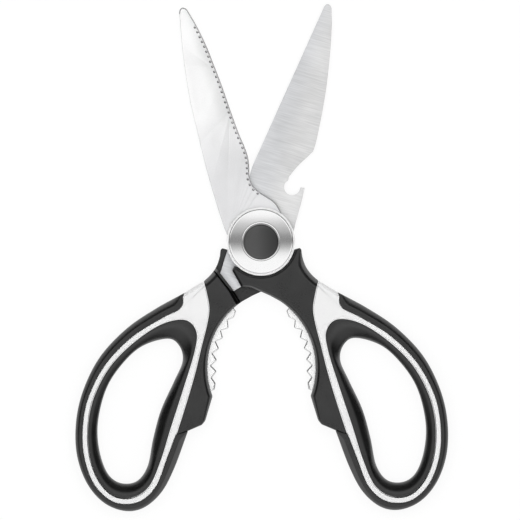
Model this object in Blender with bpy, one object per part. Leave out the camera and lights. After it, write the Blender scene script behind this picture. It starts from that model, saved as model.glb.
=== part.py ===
"""Multi-purpose kitchen scissors for fish, poultry and nuts, lying flat and part open.

Two halves cross at a bolt. Each half is a stamped steel blade whose tang sits in a black
handle body, a white core ring that shows as a stripe, a soft outer grip, a soft lining in
the finger loop, and a toothed steel jaw plate facing its twin between the handles.
The front half carries the serrated blade, the rear half the plain blade with a bottle
opener in its back.

Both halves are drawn closed: the middle line is Y, blade tips at +Y, and Z is counted from
the plane in which the blades rub. The rear handle is at x < 0; the front handle is the
same set of pieces turned half a turn about Y. Lengths are in millimetres until meshes are
made, and metres from then on. The part's origin is on the pivot axis, at the surface that
the scissors lie on.
"""

import math

import bmesh
import bpy
import numpy as np

MM = 0.001

# Main lengths
BLADE_REACH = 98.5            # pivot to the blade tips
HANDLE_REACH = 119.0          # pivot to the low end of the finger loops
LOOP_REACH = 50.3             # closed middle line to the outer side of a loop

# How far the scissors are open, and the play between pieces
HALF_OPEN_DEG = 17.4          # each half, from the closed middle line
SEAM = 0.3                    # between pieces that touch
BLADE_PLAY = 0.3              # between the two blades
BORE_PLAY = 0.2               # radial, round the pivot bolt

# Pivot, stacked up from the plane where the blades rub
BLADE_THICKNESS = 2.5
RING_FLOOR = 1.1              # steel left under the bolt head
BOLT_HEAD_HEIGHT = 1.2
CAP_THICKNESS = 0.45          # above the bolt head
WASHER_THICKNESS = 0.4
NUT_THICKNESS = 1.45
RING_BASE = BLADE_PLAY / 2 + BLADE_THICKNESS + SEAM
WELL_FLOOR = RING_BASE + RING_FLOOR
HEAD_LOW = WELL_FLOOR + SEAM
HEAD_TOP = HEAD_LOW + BOLT_HEAD_HEIGHT
CAP_TOP = HEAD_TOP + SEAM + CAP_THICKNESS
NUT_TOP = WELL_FLOOR + SEAM + WASHER_THICKNESS + SEAM
REST_HEIGHT = NUT_TOP + NUT_THICKNESS      # middle plane above the table, and half the grips

# Pivot, from the axis outwards
BOLT_RADIUS = 4.0
BOLT_SHOULDER = 2.0           # head beyond the shank
CAP_WALL = 0.65
BOLT_HEAD_RADIUS = BOLT_RADIUS + BOLT_SHOULDER
CAP_RADIUS = BOLT_HEAD_RADIUS + SEAM + CAP_WALL
HEEL_RADIUS = 13.4            # round heel of each blade
RING_INSET = 0.65             # ring short of the heel
RING_RADIUS = HEEL_RADIUS - RING_INSET
RING_DROP = 0.45              # ring short of the rest height
RING_CROWN = 0.5              # rise of its domed top
SEAT_GAP = 0.5                # handle bodies clear of the heel
SEAT_RADIUS = HEEL_RADIUS + SEAT_GAP - SEAM / 2
PIVOT_BEVEL = 0.3             # edges of the cap and the nut
NUT_HOLE_RADIUS = 0.8         # two holes for a pin spanner
NUT_HOLE_DEPTH = 0.7
NUT_FLOOR = 0.7               # left under the bolt's end
PIVOT_SEGMENTS = 40

# Heights of the handle's pieces, each way from the middle plane; the grips stand highest
BODY_DROP = 1.0
CORE_DROP = 0.6
LINING_DROP = 0.7
GRIP_SEAM_DROP = 0.8
BODY_HALF_HEIGHT = REST_HEIGHT - BODY_DROP
CORE_HALF_HEIGHT = REST_HEIGHT - CORE_DROP
LINING_HALF_HEIGHT = REST_HEIGHT - LINING_DROP
GRIP_SEAM_HEIGHT = REST_HEIGHT - GRIP_SEAM_DROP
GRIP_EDGE_HEIGHT = 2.4        # of the grips' straight outer wall
GRIP_CROWN_AT = 0.35          # share of the grip's width from the seam to its crown
LINING_EDGE_HEIGHT = 1.8      # of the straight wall round the hole
LINING_FLAT = 0.2             # share of the lining's width that lies level

# Blades
GRIND_WIDTH = 1.0             # ground face along the cutting edges
EDGE_LAND = 0.25              # steel left at the very edge
SERRATION_PITCH = 2.1
SERRATION_DEPTH = 0.35
SERRATION_FROM_Y = 18.5
SERRATION_TO_Y = BLADE_REACH - 9.1
OPENER_RADIUS = 3.2
OPENER_CENTRE = (5.5, 24.4)
TANG_HOLE_RADIUS = 1.5
TANG_HOLE_CENTRE = (-8.6, -25.2)

# Nutcracker jaws: the handle edge is an arc, the teeth stand on the same centre
JAW_RADIUS = 32.4
JAW_DEEPEST = (-7.2, -45.0)   # the arc's point furthest from the middle line
JAW_CENTRE = (JAW_DEEPEST[0] + JAW_RADIUS, JAW_DEEPEST[1])
JAW_TO_ARCH = 3.0             # the arc ends this far below the arch
JAW_PLATE_HALF_HEIGHT = 1.5
JAW_PLATE_DEPTH = 1.4         # hidden in the body
JAW_PLATE_END_DEG = 0.6       # steel past the last roots
TOOTH_COUNT = 7
TOOTH_FIRST_DEG = 154.4
TOOTH_LAST_DEG = 209.3
TOOTH_PITCH_DEG = (TOOTH_LAST_DEG - TOOTH_FIRST_DEG) / (TOOTH_COUNT - 1)
TOOTH_TIP_DEG = 0.5           # half of each tooth's flat tip
TOOTH_ROOT = 1.4              # root circle inside the handle edge
TOOTH_HEIGHT = 2.3
END_TOOTH_HEIGHT = 1.3

# Edge chamfers of the handle body
BODY_CHAMFER = 0.4
FINGER_CHAMFER = 1.5
JAW_CHAMFER_TOP = 0.6
JAW_CHAMFER_BOTTOM = 1.9
BODY_CHAMFER_STEEPNESS = 0.8
CORE_CHAMFER = 0.35
BLANK_CHAMFER = 0.2           # blades, away from the cutting edge

# Where the blades' outlines leave the round heel, as directions from the pivot
SPINE_DEG = 154.4             # front blade's spine, rear blade's edge
EDGE_DEG = 32.5               # front blade's edge, rear blade's back
TANG_FROM_DEG = 208.4
TANG_TO_DEG = 283.0

# The outlines are drawn for the main lengths above. Beyond these lines they stretch with them
BLADE_STRETCH_Y = 43.2
LOOP_STRETCH_Y = -84.0
LOOP_STRETCH_X = -24.0
DRAWN_BLADE_Y = 98.5
DRAWN_LOOP_Y = -119.0
DRAWN_LOOP_X = -50.3

# Front blade, from the heel up the spine, round the tip and down the edge
FRONT_SPINE = [(-12.4, 14.9), (-12.1, 31.6), (-11.1, 48.0), (-9.7, 64.4), (-7.1, 80.3),
               (-4.5, 92.0), (-3.6, 96.4)]
FRONT_TIP = [(-3.6, 96.4), (-2.9, 97.9), (-1.7, 98.5), (-0.5, 97.8), (0.1, 96.6)]
FRONT_EDGE = [(0.1, 96.6), (1.6, 89.8), (2.9, 81.1), (3.5, 72.5), (4.0, 63.9), (4.3, 52.0), (4.7, 43.2),
              (5.2, 38.3), (5.3, 34.1), (4.7, 30.3), (3.6, 26.6), (3.4, 24.1), (3.9, 21.6), (5.4, 19.0),
              (9.3, 14.3), (10.8, 10.9)]
# Rear blade: straight edge, and a back broken by the opener
REAR_EDGE = [(-12.1, 27.9), (-3.5, 97.2)]
REAR_TIP = [(-3.5, 97.2), (-2.9, 98.3), (-1.8, 98.5), (-0.6, 97.6)]
REAR_SPINE = [(-0.6, 97.6), (1.6, 90.9), (4.4, 79.1), (6.7, 67.3), (8.1, 57.3), (9.1, 47.3), (9.4, 43.2)]
OPENER_MOUTH = [(9.4, 43.2), (9.3, 40.5), (5.2, 33.1), (3.0, 27.9)]
REAR_BACK = [(10.4, 25.6), (10.8, 20.0), (11.1, 11.0)]
# Tang of either blade, on the handle's side, from the heel and back to it
TANG = [(-11.8, -17.5), (-11.3, -25.0), (-10.8, -29.6), (-9.9, -30.6), (-8.7, -30.1), (-7.8, -28.0),
        (-4.4, -22.4), (-2.4, -19.8), (0.3, -17.0)]

# Rear handle. The seams are shared: each piece keeps half the seam's width from them
FINGER_HOLE = [(-24.1, -48.1), (-18.7, -49.6), (-15.8, -55.0), (-16.7, -63.7), (-18.3, -76.2),
               (-17.9, -88.2), (-16.8, -99.2), (-19.3, -106.3), (-25.6, -108.8), (-31.7, -106.2),
               (-37.5, -98.0), (-41.0, -87.8), (-41.7, -74.7), (-38.7, -63.6), (-33.1, -54.1)]
STRIPE_INNER = [(-19.6, -38.8), (-14.0, -41.9), (-12.2, -49.7), (-12.1, -65.4), (-12.3, -82.2),
                (-12.3, -95.6), (-13.7, -106.7), (-19.1, -113.1), (-26.6, -114.4), (-34.2, -110.0),
                (-40.5, -101.4), (-44.5, -89.9), (-45.4, -78.2), (-42.7, -64.9), (-36.1, -52.5),
                (-27.9, -42.9)]
STRIPE_BODY = [(-17.2, -22.0), (-14.5, -26.4), (-11.9, -31.7), (-10.9, -37.7), (-10.4, -46.7),
               (-9.7, -58.0), (-9.5, -69.7), (-9.6, -83.9)]
STRIPE_GRIP = [(-9.6, -83.9), (-10.2, -93.7), (-11.0, -105.3), (-14.8, -112.7), (-21.1, -116.3),
               (-28.1, -116.2), (-36.1, -111.3), (-42.9, -101.4), (-46.7, -89.3), (-47.4, -78.2),
               (-44.7, -64.7), (-38.0, -51.6), (-29.0, -41.1), (-24.1, -36.5), (-23.0, -35.1),
               (-22.5, -33.3), (-22.9, -31.5), (-23.5, -30.1)]
GRIP_OUTER = [(-5.6, -81.4), (-6.4, -97.2), (-8.6, -107.9), (-13.7, -115.7), (-20.9, -119.0),
              (-29.9, -117.9), (-38.4, -112.2), (-45.3, -102.6), (-49.4, -90.2), (-50.3, -77.2),
              (-47.8, -62.9), (-41.1, -49.2), (-32.4, -38.2), (-23.2, -28.7)]
FINGER_OUTER = [(-13.9, -11.2), (-14.1, -15.1), (-15.3, -18.7), (-17.2, -22.0)]
STOP_BLOCK = [(-5.6, -80.9), (-0.9, -76.9), (0.0, -74.9)]
ARCH = [(2.8, -22.0), (6.3, -18.9), (9.5, -16.3), (13.0, -15.0)]
STEP_WALL = [(-26.0, -8.2), (-11.9, -17.4), (-1.7, -25.8), (8.0, -33.8)]
# Body round the pivot: the seat's two ends, and points given by direction and distance from it
SEAT_FROM_DEG = -32.3
SEAT_TO_DEG = -149.1
FINGER_TIP = [(-153.6, 2.0), (-151.2, 2.7)]
HOOK = [(-27.0, 2.5), (-25.1, 0.6)]

CLEAR = 40.0                  # cutters reach this far past what they cut


def smooth_curve(points, steps, closed=False):
    """Catmull-Rom curve through the points, with the given number of steps between two."""
    points = np.array(points, float)
    if closed:
        ring = np.vstack([points[-1], points, points[0], points[1]])
    else:
        ring = np.vstack([2 * points[0] - points[1], points, 2 * points[-1] - points[-2]])
    t = np.linspace(0.0, 1.0, steps, endpoint=False)[:, None]
    spans = []
    for before, start, end, after in zip(ring[:-3], ring[1:-2], ring[2:-1], ring[3:]):
        spans.append(0.5 * (2 * start + (end - before) * t
                            + (2 * before - 5 * start + 4 * end - after) * t ** 2
                            + (3 * start - before - 3 * end + after) * t ** 3))
    if not closed:
        spans.append(points[-1:])
    return np.vstack(spans)


def resample(points, count, closed=False):
    """The same curve with points at equal distances along it."""
    points = np.vstack([points, points[:1]]) if closed else points
    along = np.concatenate([[0.0], np.cumsum(np.linalg.norm(np.diff(points, axis=0), axis=1))])
    wanted = np.linspace(0.0, along[-1], count, endpoint=not closed)
    return np.stack([np.interp(wanted, along, points[:, i]) for i in (0, 1)], axis=1)


def stretched(points, axis, start, drawn, wanted):
    """The points with what lies beyond start stretched, so that drawn becomes wanted."""
    points = np.array(points, float)
    share = np.maximum((points[:, axis] - start) / (drawn - start), 0.0)
    points[:, axis] += share * (wanted - drawn)
    return points


def blade_points(points):
    """Points of a blade, fitted to BLADE_REACH."""
    return stretched(points, 1, BLADE_STRETCH_Y, DRAWN_BLADE_Y, BLADE_REACH)


def loop_points(points):
    """Points of the rear handle, fitted to HANDLE_REACH and LOOP_REACH."""
    longer = stretched(points, 1, LOOP_STRETCH_Y, DRAWN_LOOP_Y, -HANDLE_REACH)
    return stretched(longer, 0, LOOP_STRETCH_X, DRAWN_LOOP_X, -LOOP_REACH)


def arc(centre, radius, start_deg, end_deg, count):
    """Points on a circle, from one angle to the other."""
    angle = np.radians(np.linspace(start_deg, end_deg, count))
    return np.stack([centre[0] + radius * np.cos(angle), centre[1] + radius * np.sin(angle)], axis=1)


def offset(points, distance, closed=True):
    """Moves an outline outwards by a distance, which may differ from point to point.

    Outwards is to the right of the walking direction, so a closed outline runs
    counter-clockwise. Corners are mitred, up to twice the distance.
    """
    ahead = np.roll(points, -1, axis=0) - points
    if not closed:
        ahead[-1] = ahead[-2]
    ahead /= np.linalg.norm(ahead, axis=1)[:, None]
    behind = np.roll(ahead, 1, axis=0)
    if not closed:
        behind[0] = ahead[0]
    normal_a = np.stack([behind[:, 1], -behind[:, 0]], axis=1)
    normal_b = np.stack([ahead[:, 1], -ahead[:, 0]], axis=1)
    mitre = (normal_a + normal_b) / np.maximum(1.0 + (normal_a * normal_b).sum(axis=1), 0.5)[:, None]
    return points + mitre * np.reshape(distance, (-1, 1))


def mesh_object(name, bm, material):
    """Makes an object of a bmesh in millimetres, with its faces pointing out."""
    bmesh.ops.scale(bm, vec=(MM, MM, MM), verts=bm.verts)
    bmesh.ops.recalc_face_normals(bm, faces=bm.faces)
    mesh = bpy.data.meshes.new(name)
    bm.to_mesh(mesh)
    bm.free()
    mesh.materials.append(material)
    piece = bpy.data.objects.new(name, mesh)
    bpy.context.scene.collection.objects.link(piece)
    return piece


def skinned(name, loops, material, ring=False):
    """Skins loops of equal length one to the next.

    loops is an array (loops, points, 3). The ends are capped, or joined to each other
    when the loops make a ring.
    """
    bm = bmesh.new()
    rows = [[bm.verts.new(point) for point in loop] for loop in loops]
    pairs = list(zip(rows, rows[1:] + rows[:1])) if ring else list(zip(rows, rows[1:]))
    for low, high in pairs:
        for i in range(len(low)):
            j = (i + 1) % len(low)
            bm.faces.new((low[i], low[j], high[j], high[i]))
    if not ring:
        bm.faces.new(rows[0])
        bm.faces.new(rows[-1])
    return mesh_object(name, bm, material)


def at_height(outline, height):
    """An outline as points at one height."""
    return np.column_stack([outline, np.full(len(outline), height)])


def prism(name, outline, low, high, material, low_chamfer=0.0, high_chamfer=0.0, steepness=1.0):
    """An outline raised from low to high, with chamfers of a width given point by point.

    A chamfer is as deep as it is wide, times the steepness.
    """
    loops = []
    if np.max(low_chamfer) > 0.0:
        depth = np.max(low_chamfer) * steepness
        loops += [at_height(offset(outline, -low_chamfer), low), at_height(outline, low + depth)]
    else:
        loops.append(at_height(outline, low))
    if np.max(high_chamfer) > 0.0:
        depth = high_chamfer * steepness * np.ones(len(outline))
        rim = at_height(outline, high)
        rim[:, 2] -= depth
        loops += [rim, at_height(offset(outline, -high_chamfer), high)]
    else:
        loops.append(at_height(outline, high))
    return skinned(name, np.array(loops), material)


def turned(name, profile, material, segments=PIVOT_SEGMENTS):
    """A round piece turned about Z from a profile of (radius, height) pairs.

    The profile is walked so that the material is on its left; points on the axis close it.
    """
    bm = bmesh.new()
    angles = [2 * math.pi * i / segments for i in range(segments)]
    rows = []
    for radius, height in profile:
        if radius == 0.0:
            rows.append([bm.verts.new((0.0, 0.0, height))])
        else:
            circle = [(radius * math.cos(a), radius * math.sin(a), height) for a in angles]
            rows.append([bm.verts.new(point) for point in circle])
    hollow = profile[0][0] > 0.0 and profile[-1][0] > 0.0
    pairs = list(zip(rows, rows[1:])) + ([(rows[-1], rows[0])] if hollow else [])
    for low, high in pairs:
        for i in range(segments):
            j = (i + 1) % segments
            corners = [low[i % len(low)], low[j % len(low)], high[j % len(high)], high[i % len(high)]]
            bm.faces.new(list(dict.fromkeys(corners)))
    piece = mesh_object(name, bm, material)
    piece.data.shade_smooth()
    piece.data.set_sharp_from_angle(angle=math.radians(30))
    return piece


def apply_cut(piece, cutter, operation="DIFFERENCE"):
    """Cuts one object with another, or joins them, and removes the tool."""
    modifier = piece.modifiers.new("cut", "BOOLEAN")
    modifier.operation = operation
    modifier.solver = "EXACT"
    modifier.object = cutter
    bpy.context.view_layer.update()
    result = bpy.data.meshes.new_from_object(piece.evaluated_get(bpy.context.evaluated_depsgraph_get()))
    piece.modifiers.clear()
    old = piece.data
    piece.data = result
    result.name = piece.name
    bpy.data.meshes.remove(old)
    tool = cutter.data
    bpy.data.objects.remove(cutter)
    bpy.data.meshes.remove(tool)
    return piece


def cylinder(radius, low, high, centre=(0.0, 0.0), segments=PIVOT_SEGMENTS):
    """A plain cylinder used as a cutting tool."""
    return prism("tool", arc(centre, radius, 0.0, 360.0, segments + 1)[:-1], low, high, MATERIALS["steel"])


def finish(name, color, roughness, metallic):
    """A Principled material of one colour."""
    material = bpy.data.materials.new(name)
    material.use_nodes = True
    shader = material.node_tree.nodes["Principled BSDF"]
    shader.inputs["Base Color"].default_value = (*color, 1.0)
    shader.inputs["Roughness"].default_value = roughness
    shader.inputs["Metallic"].default_value = metallic
    material.diffuse_color = (*color, 1.0)
    return material


def half_empty(name, angle_deg):
    """The frame of one half: on the pivot axis, in the plane where the blades rub."""
    empty = bpy.data.objects.new(name, None)
    empty.location = (0.0, 0.0, REST_HEIGHT * MM)
    empty.rotation_euler = (0.0, 0.0, math.radians(angle_deg))
    bpy.context.scene.collection.objects.link(empty)
    return empty


def polar(radius, *angles_deg):
    """Points at one distance from the pivot, in the given directions."""
    angles = np.radians(angles_deg)
    return radius * np.stack([np.cos(angles), np.sin(angles)], axis=1)


def heel_arc(start_deg, end_deg, count):
    """The blade's round heel between two directions, without its end points."""
    return arc((0.0, 0.0), HEEL_RADIUS, start_deg, end_deg, count)[1:-1]


def tang_outline():
    """The tang of the rear blade, from the heel and back to it."""
    start, end = polar(HEEL_RADIUS, TANG_FROM_DEG, TANG_TO_DEG)
    return np.vstack([start, TANG, end])


def serration(along, count):
    """How far each point of the edge is ground back: a row of round scallops.

    along is the distance from the first scallop, in pitches.
    """
    inside = (along >= 0.0) & (along <= count)
    return np.where(inside, np.abs(np.sin(np.pi * along)), 0.0) * SERRATION_DEPTH


def ground_blade(name, outline, cutting, scallop, material):
    """A blade blank of one thickness, ground along its edge.

    cutting is 1 on the points of the cutting edge and 0 elsewhere; scallop is how far the
    edge itself is taken back at each point. The blade's flat side is at the bottom.
    """
    flat = BLADE_PLAY / 2
    face = flat + BLADE_THICKNESS
    drop = cutting * (BLADE_THICKNESS - EDGE_LAND) + (1 - cutting) * BLANK_CHAMFER
    width = cutting * GRIND_WIDTH + (1 - cutting) * BLANK_CHAMFER
    edge = offset(outline, -scallop)
    loops = [at_height(edge, flat), at_height(edge, face), at_height(offset(outline, -width), face)]
    loops[1][:, 2] -= drop
    blade = skinned(name, np.array(loops), material)
    apply_cut(blade, cylinder(BOLT_RADIUS + BORE_PLAY, -CLEAR, CLEAR))
    hole = (-TANG_HOLE_CENTRE[0], TANG_HOLE_CENTRE[1])
    return apply_cut(blade, cylinder(TANG_HOLE_RADIUS, -CLEAR, CLEAR, hole, 16))


def front_blade_outline():
    """Outline, cutting mask and scallops of the front blade, counter-clockwise."""
    edge = smooth_curve(np.vstack([blade_points(FRONT_EDGE), polar(HEEL_RADIUS, EDGE_DEG)]), 40)
    length = np.linalg.norm(np.diff(edge, axis=0), axis=1).sum()
    edge = resample(edge, int(length / SERRATION_PITCH * 4) + 1)[::-1]
    along = np.concatenate([[0.0], np.cumsum(np.linalg.norm(np.diff(edge, axis=0), axis=1))])
    start, end = np.interp([SERRATION_FROM_Y, SERRATION_TO_Y], edge[:, 1], along)
    scallop = serration((along - start) / SERRATION_PITCH, int((end - start) / SERRATION_PITCH))
    spine = smooth_curve(np.vstack([polar(HEEL_RADIUS, SPINE_DEG), blade_points(FRONT_SPINE)]), 4)
    tip = smooth_curve(blade_points(FRONT_TIP), 3)
    tang = tang_outline()[::-1] * (-1.0, 1.0)
    # walked from the heel's right side: edge, tip, spine, heel, tang, heel
    heel = heel_arc(SPINE_DEG, 540.0 - TANG_TO_DEG, 12)
    close = heel_arc(180.0 - TANG_FROM_DEG, EDGE_DEG, 8)
    outline = np.vstack([edge, tip[::-1][1:-1], spine[::-1], heel, tang, close])
    cutting = np.zeros(len(outline))
    cutting[:len(edge)] = 1.0
    back = np.zeros(len(outline))
    back[:len(edge)] = scallop
    return outline, cutting, back


def rear_blade_outline():
    """Outline and cutting mask of the rear blade, counter-clockwise."""
    right = heel_arc(TANG_TO_DEG - 360.0, EDGE_DEG, 14)
    back = smooth_curve(np.vstack([REAR_BACK, polar(HEEL_RADIUS, EDGE_DEG)]), 4)[::-1]
    opener = arc(OPENER_CENTRE, OPENER_RADIUS, 375.0, 135.0, 20)
    mouth = smooth_curve(OPENER_MOUTH[1:], 4)[::-1]
    spine = smooth_curve(blade_points(REAR_SPINE), 4)[::-1]
    tip = smooth_curve(blade_points(REAR_TIP), 3)[::-1]
    up = np.vstack([right, back, opener, mouth[1:], spine, tip[1:-1]])
    edge = np.vstack([polar(HEEL_RADIUS, SPINE_DEG), blade_points(REAR_EDGE)])[::-1]
    left = heel_arc(SPINE_DEG, TANG_FROM_DEG, 6)
    outline = np.vstack([up, edge, left, tang_outline()])
    cutting = np.zeros(len(outline))
    cutting[len(up):len(up) + len(edge) - 1] = 1.0
    return outline, cutting


def body_outline():
    """Raw outline of the rear handle body, counter-clockwise, and its chamfer widths."""
    tip = [polar(SEAT_RADIUS + out, direction)[0] for direction, out in FINGER_TIP]
    hook = [polar(SEAT_RADIUS + out, direction)[0] for direction, out in HOOK]
    foot = JAW_CENTRE[1] - math.sqrt(JAW_RADIUS ** 2 - JAW_CENTRE[0] ** 2)
    head = ARCH[0][1] - JAW_TO_ARCH
    start, end = (180.0 + math.degrees(math.asin((JAW_CENTRE[1] - y) / JAW_RADIUS)) for y in (foot, head))
    jaw = arc(JAW_CENTRE, JAW_RADIUS, start, end, 22)
    parts = [
        (smooth_curve(np.vstack([tip[1], FINGER_OUTER]), 4)[:-1], FINGER_CHAMFER),
        (smooth_curve(STRIPE_BODY, 3), BODY_CHAMFER),
        (np.array(STOP_BLOCK), BODY_CHAMFER),
        (jaw, np.linspace(JAW_CHAMFER_BOTTOM, JAW_CHAMFER_TOP, len(jaw))),
        (smooth_curve(ARCH, 3), BODY_CHAMFER),
        (np.array(hook), BODY_CHAMFER),
        (arc((0.0, 0.0), SEAT_RADIUS, SEAT_FROM_DEG, SEAT_TO_DEG, 22), BODY_CHAMFER),
        (tip[:1], BODY_CHAMFER),
    ]
    widths = np.concatenate([np.full(len(points), width) if np.isscalar(width) else width
                             for points, width in parts])
    widths[0] = BODY_CHAMFER
    return np.vstack([points for points, _ in parts]), widths


def jaw_outline():
    """The jaw plate: its back on one arc, its teeth on smaller ones about the same centre."""
    tips = np.linspace(TOOTH_FIRST_DEG, TOOTH_LAST_DEG, TOOTH_COUNT)
    roots = np.append(tips - TOOTH_PITCH_DEG / 2, tips[-1] + TOOTH_PITCH_DEG / 2)
    root_radius = JAW_RADIUS - TOOTH_ROOT
    height = np.full(TOOTH_COUNT, TOOTH_HEIGHT)
    height[[0, -1]] = END_TOOTH_HEIGHT
    outline = [arc(JAW_CENTRE, JAW_RADIUS + JAW_PLATE_DEPTH, roots[-1] + JAW_PLATE_END_DEG,
                   roots[0] - JAW_PLATE_END_DEG, 16)]
    for root, tip, rise in zip(roots, tips, height):
        outline.append(arc(JAW_CENTRE, root_radius, root, root, 1))
        outline.append(arc(JAW_CENTRE, root_radius - rise, tip - TOOTH_TIP_DEG, tip + TOOTH_TIP_DEG, 2))
    outline.append(arc(JAW_CENTRE, root_radius, roots[-1], roots[-1], 1))
    return np.vstack(outline)[::-1]


def jaw_pocket():
    """The slot for the jaw plate: its back and ends a seam wider, and open towards the teeth."""
    beyond = TOOTH_PITCH_DEG / 2 + JAW_PLATE_END_DEG + math.degrees(SEAM / JAW_RADIUS)
    first = TOOTH_FIRST_DEG - beyond
    last = TOOTH_LAST_DEG + beyond
    deep = arc(JAW_CENTRE, JAW_RADIUS + JAW_PLATE_DEPTH + SEAM, first, last, 18)
    front = arc(JAW_CENTRE, JAW_RADIUS - 2 * TOOTH_HEIGHT, last, first, 18)
    return np.vstack([deep, front])


def handle_body(material):
    """Black body: full height out at the loop, half height where the halves cross."""
    raw, widths = body_outline()
    outline = offset(raw, -SEAM / 2)
    body = prism("rear_handle_body", outline, -BODY_HALF_HEIGHT, BODY_HALF_HEIGHT, material,
                 low_chamfer=widths, high_chamfer=widths, steepness=BODY_CHAMFER_STEEPNESS)
    wall = np.array(STEP_WALL)
    around = [(CLEAR, wall[-1, 1]), (CLEAR, CLEAR), (-CLEAR, CLEAR), (-CLEAR, wall[0, 1])]
    crossing = np.vstack([wall, around])
    apply_cut(body, prism("tool", crossing, -BLADE_PLAY / 2, CLEAR, material))
    pocket = prism("tool", offset(np.vstack([tang_outline(), [(0.0, 0.0)]]), SEAM),
                   -RING_BASE, BLADE_PLAY / 2, material)
    apply_cut(pocket, cylinder(TANG_HOLE_RADIUS - SEAM, -CLEAR, CLEAR, TANG_HOLE_CENTRE, 16))
    apply_cut(body, pocket)
    slot_height = JAW_PLATE_HALF_HEIGHT + SEAM
    return apply_cut(body, prism("tool", jaw_pocket(), -slot_height, slot_height, material))


def core_outline():
    """Outer edge of the white core, counter-clockwise."""
    seam = smooth_curve(STRIPE_BODY, 3)
    grip = smooth_curve(loop_points(STRIPE_GRIP), 3)
    end = loop_points(GRIP_OUTER[-1:])
    return np.vstack([seam, grip[1:], end])[::-1]


def handle_core(material):
    """White core ring, seen from the front as the shoulder and the stripe."""
    outer = offset(core_outline(), -SEAM / 2)
    inner = smooth_curve(loop_points(STRIPE_INNER), 3, closed=True)[::-1]
    chamfer = np.full(len(outer), CORE_CHAMFER)
    core = prism("rear_handle_core", outer, -CORE_HALF_HEIGHT, CORE_HALF_HEIGHT, material,
                 low_chamfer=chamfer, high_chamfer=chamfer)
    return apply_cut(core, prism("tool", offset(inner, SEAM / 2), -CLEAR, CLEAR, material))


def crowned_section(seam_height, crown_height, edge_height, crown_at, steps):
    """Upper half of a grip's cross-section, from the seam (0) to the free edge (1).

    It rises from the seam to its crown and falls to the edge along a quarter of an ellipse.
    """
    t = np.linspace(0.0, 1.0, steps)
    rise = np.clip(t / crown_at, 0.0, 1.0)
    rising = seam_height + (crown_height - seam_height) * np.sin(np.pi / 2 * rise)
    fall = np.clip((t - crown_at) / (1.0 - crown_at), 0.0, 1.0)
    falling = edge_height + (crown_height - edge_height) * np.sqrt(1.0 - fall ** 2)
    return t, np.where(t < crown_at, rising, falling)


def band(name, seam, edge, section, material, ring=False):
    """A grip between two rails: its cross-section is stretched from the seam to the edge."""
    t, height = section
    across = np.concatenate([t, t[::-1]])
    up = np.concatenate([height, -height[::-1]])
    loops = seam[:, None, :] + (edge - seam)[:, None, :] * across[None, :, None]
    level = np.broadcast_to(up[None, :, None], (*loops.shape[:2], 1))
    return skinned(name, np.concatenate([loops, level], axis=2), material, ring)


def outer_grip(material, stations=38):
    """Soft outer grip, from the shoulder round the loop to the stop block."""
    seam = resample(smooth_curve(loop_points(STRIPE_GRIP), 6), stations)
    edge = resample(smooth_curve(loop_points(GRIP_OUTER), 6), stations)
    seam = offset(seam, -SEAM / 2, closed=False)
    # the lower end keeps the seam's width from the stop block
    down = np.array([0.0, -1.0]) * SEAM
    seam[0] += down
    edge[0] += down
    section = crowned_section(GRIP_SEAM_HEIGHT, REST_HEIGHT, GRIP_EDGE_HEIGHT, GRIP_CROWN_AT, 7)
    return band("rear_outer_grip", seam, edge, section, material)


def loop_lining(material, stations=46):
    """Soft lining of the finger loop, sloping from the stripe into the hole."""
    hole = smooth_curve(loop_points(FINGER_HOLE), 6, closed=True)
    centre = hole.mean(axis=0)
    rim = resample(smooth_curve(loop_points(STRIPE_INNER), 6, closed=True), stations, closed=True)
    rim = offset(rim[::-1], -SEAM / 2)

    def seen_from_centre(points):
        rel = points - centre
        return np.arctan2(rel[:, 1], rel[:, 0]), np.linalg.norm(rel, axis=1)

    hole_angle, hole_radius = seen_from_centre(hole)
    order = np.argsort(hole_angle)
    rim_angle, _ = seen_from_centre(rim)
    radius = np.interp(rim_angle, hole_angle[order], hole_radius[order], period=2 * np.pi)
    edge = centre + radius[:, None] * np.stack([np.cos(rim_angle), np.sin(rim_angle)], axis=1)
    section = crowned_section(LINING_HALF_HEIGHT, LINING_HALF_HEIGHT, LINING_EDGE_HEIGHT, LINING_FLAT, 7)
    return band("rear_loop_lining", rim, edge, section, material, ring=True)


def pivot_ring(name, material):
    """Bright domed ring with a well for the bolt head or the nut."""
    bore = BOLT_RADIUS + BORE_PLAY
    well = CAP_RADIUS + SEAM
    middle = (well + RING_RADIUS) / 2
    half = (RING_RADIUS - well) / 2
    edge = REST_HEIGHT - RING_DROP - RING_CROWN
    dome = [(middle + half * s, edge + RING_CROWN * math.sqrt(1.0 - abs(s) ** 3))
            for s in np.linspace(0.94, -0.94, 7)]
    profile = [(bore, RING_BASE), (RING_RADIUS, RING_BASE), (RING_RADIUS, edge), *dome,
               (well, edge), (well, WELL_FLOOR), (bore, WELL_FLOOR)]
    return turned(name, profile, material)


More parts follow.
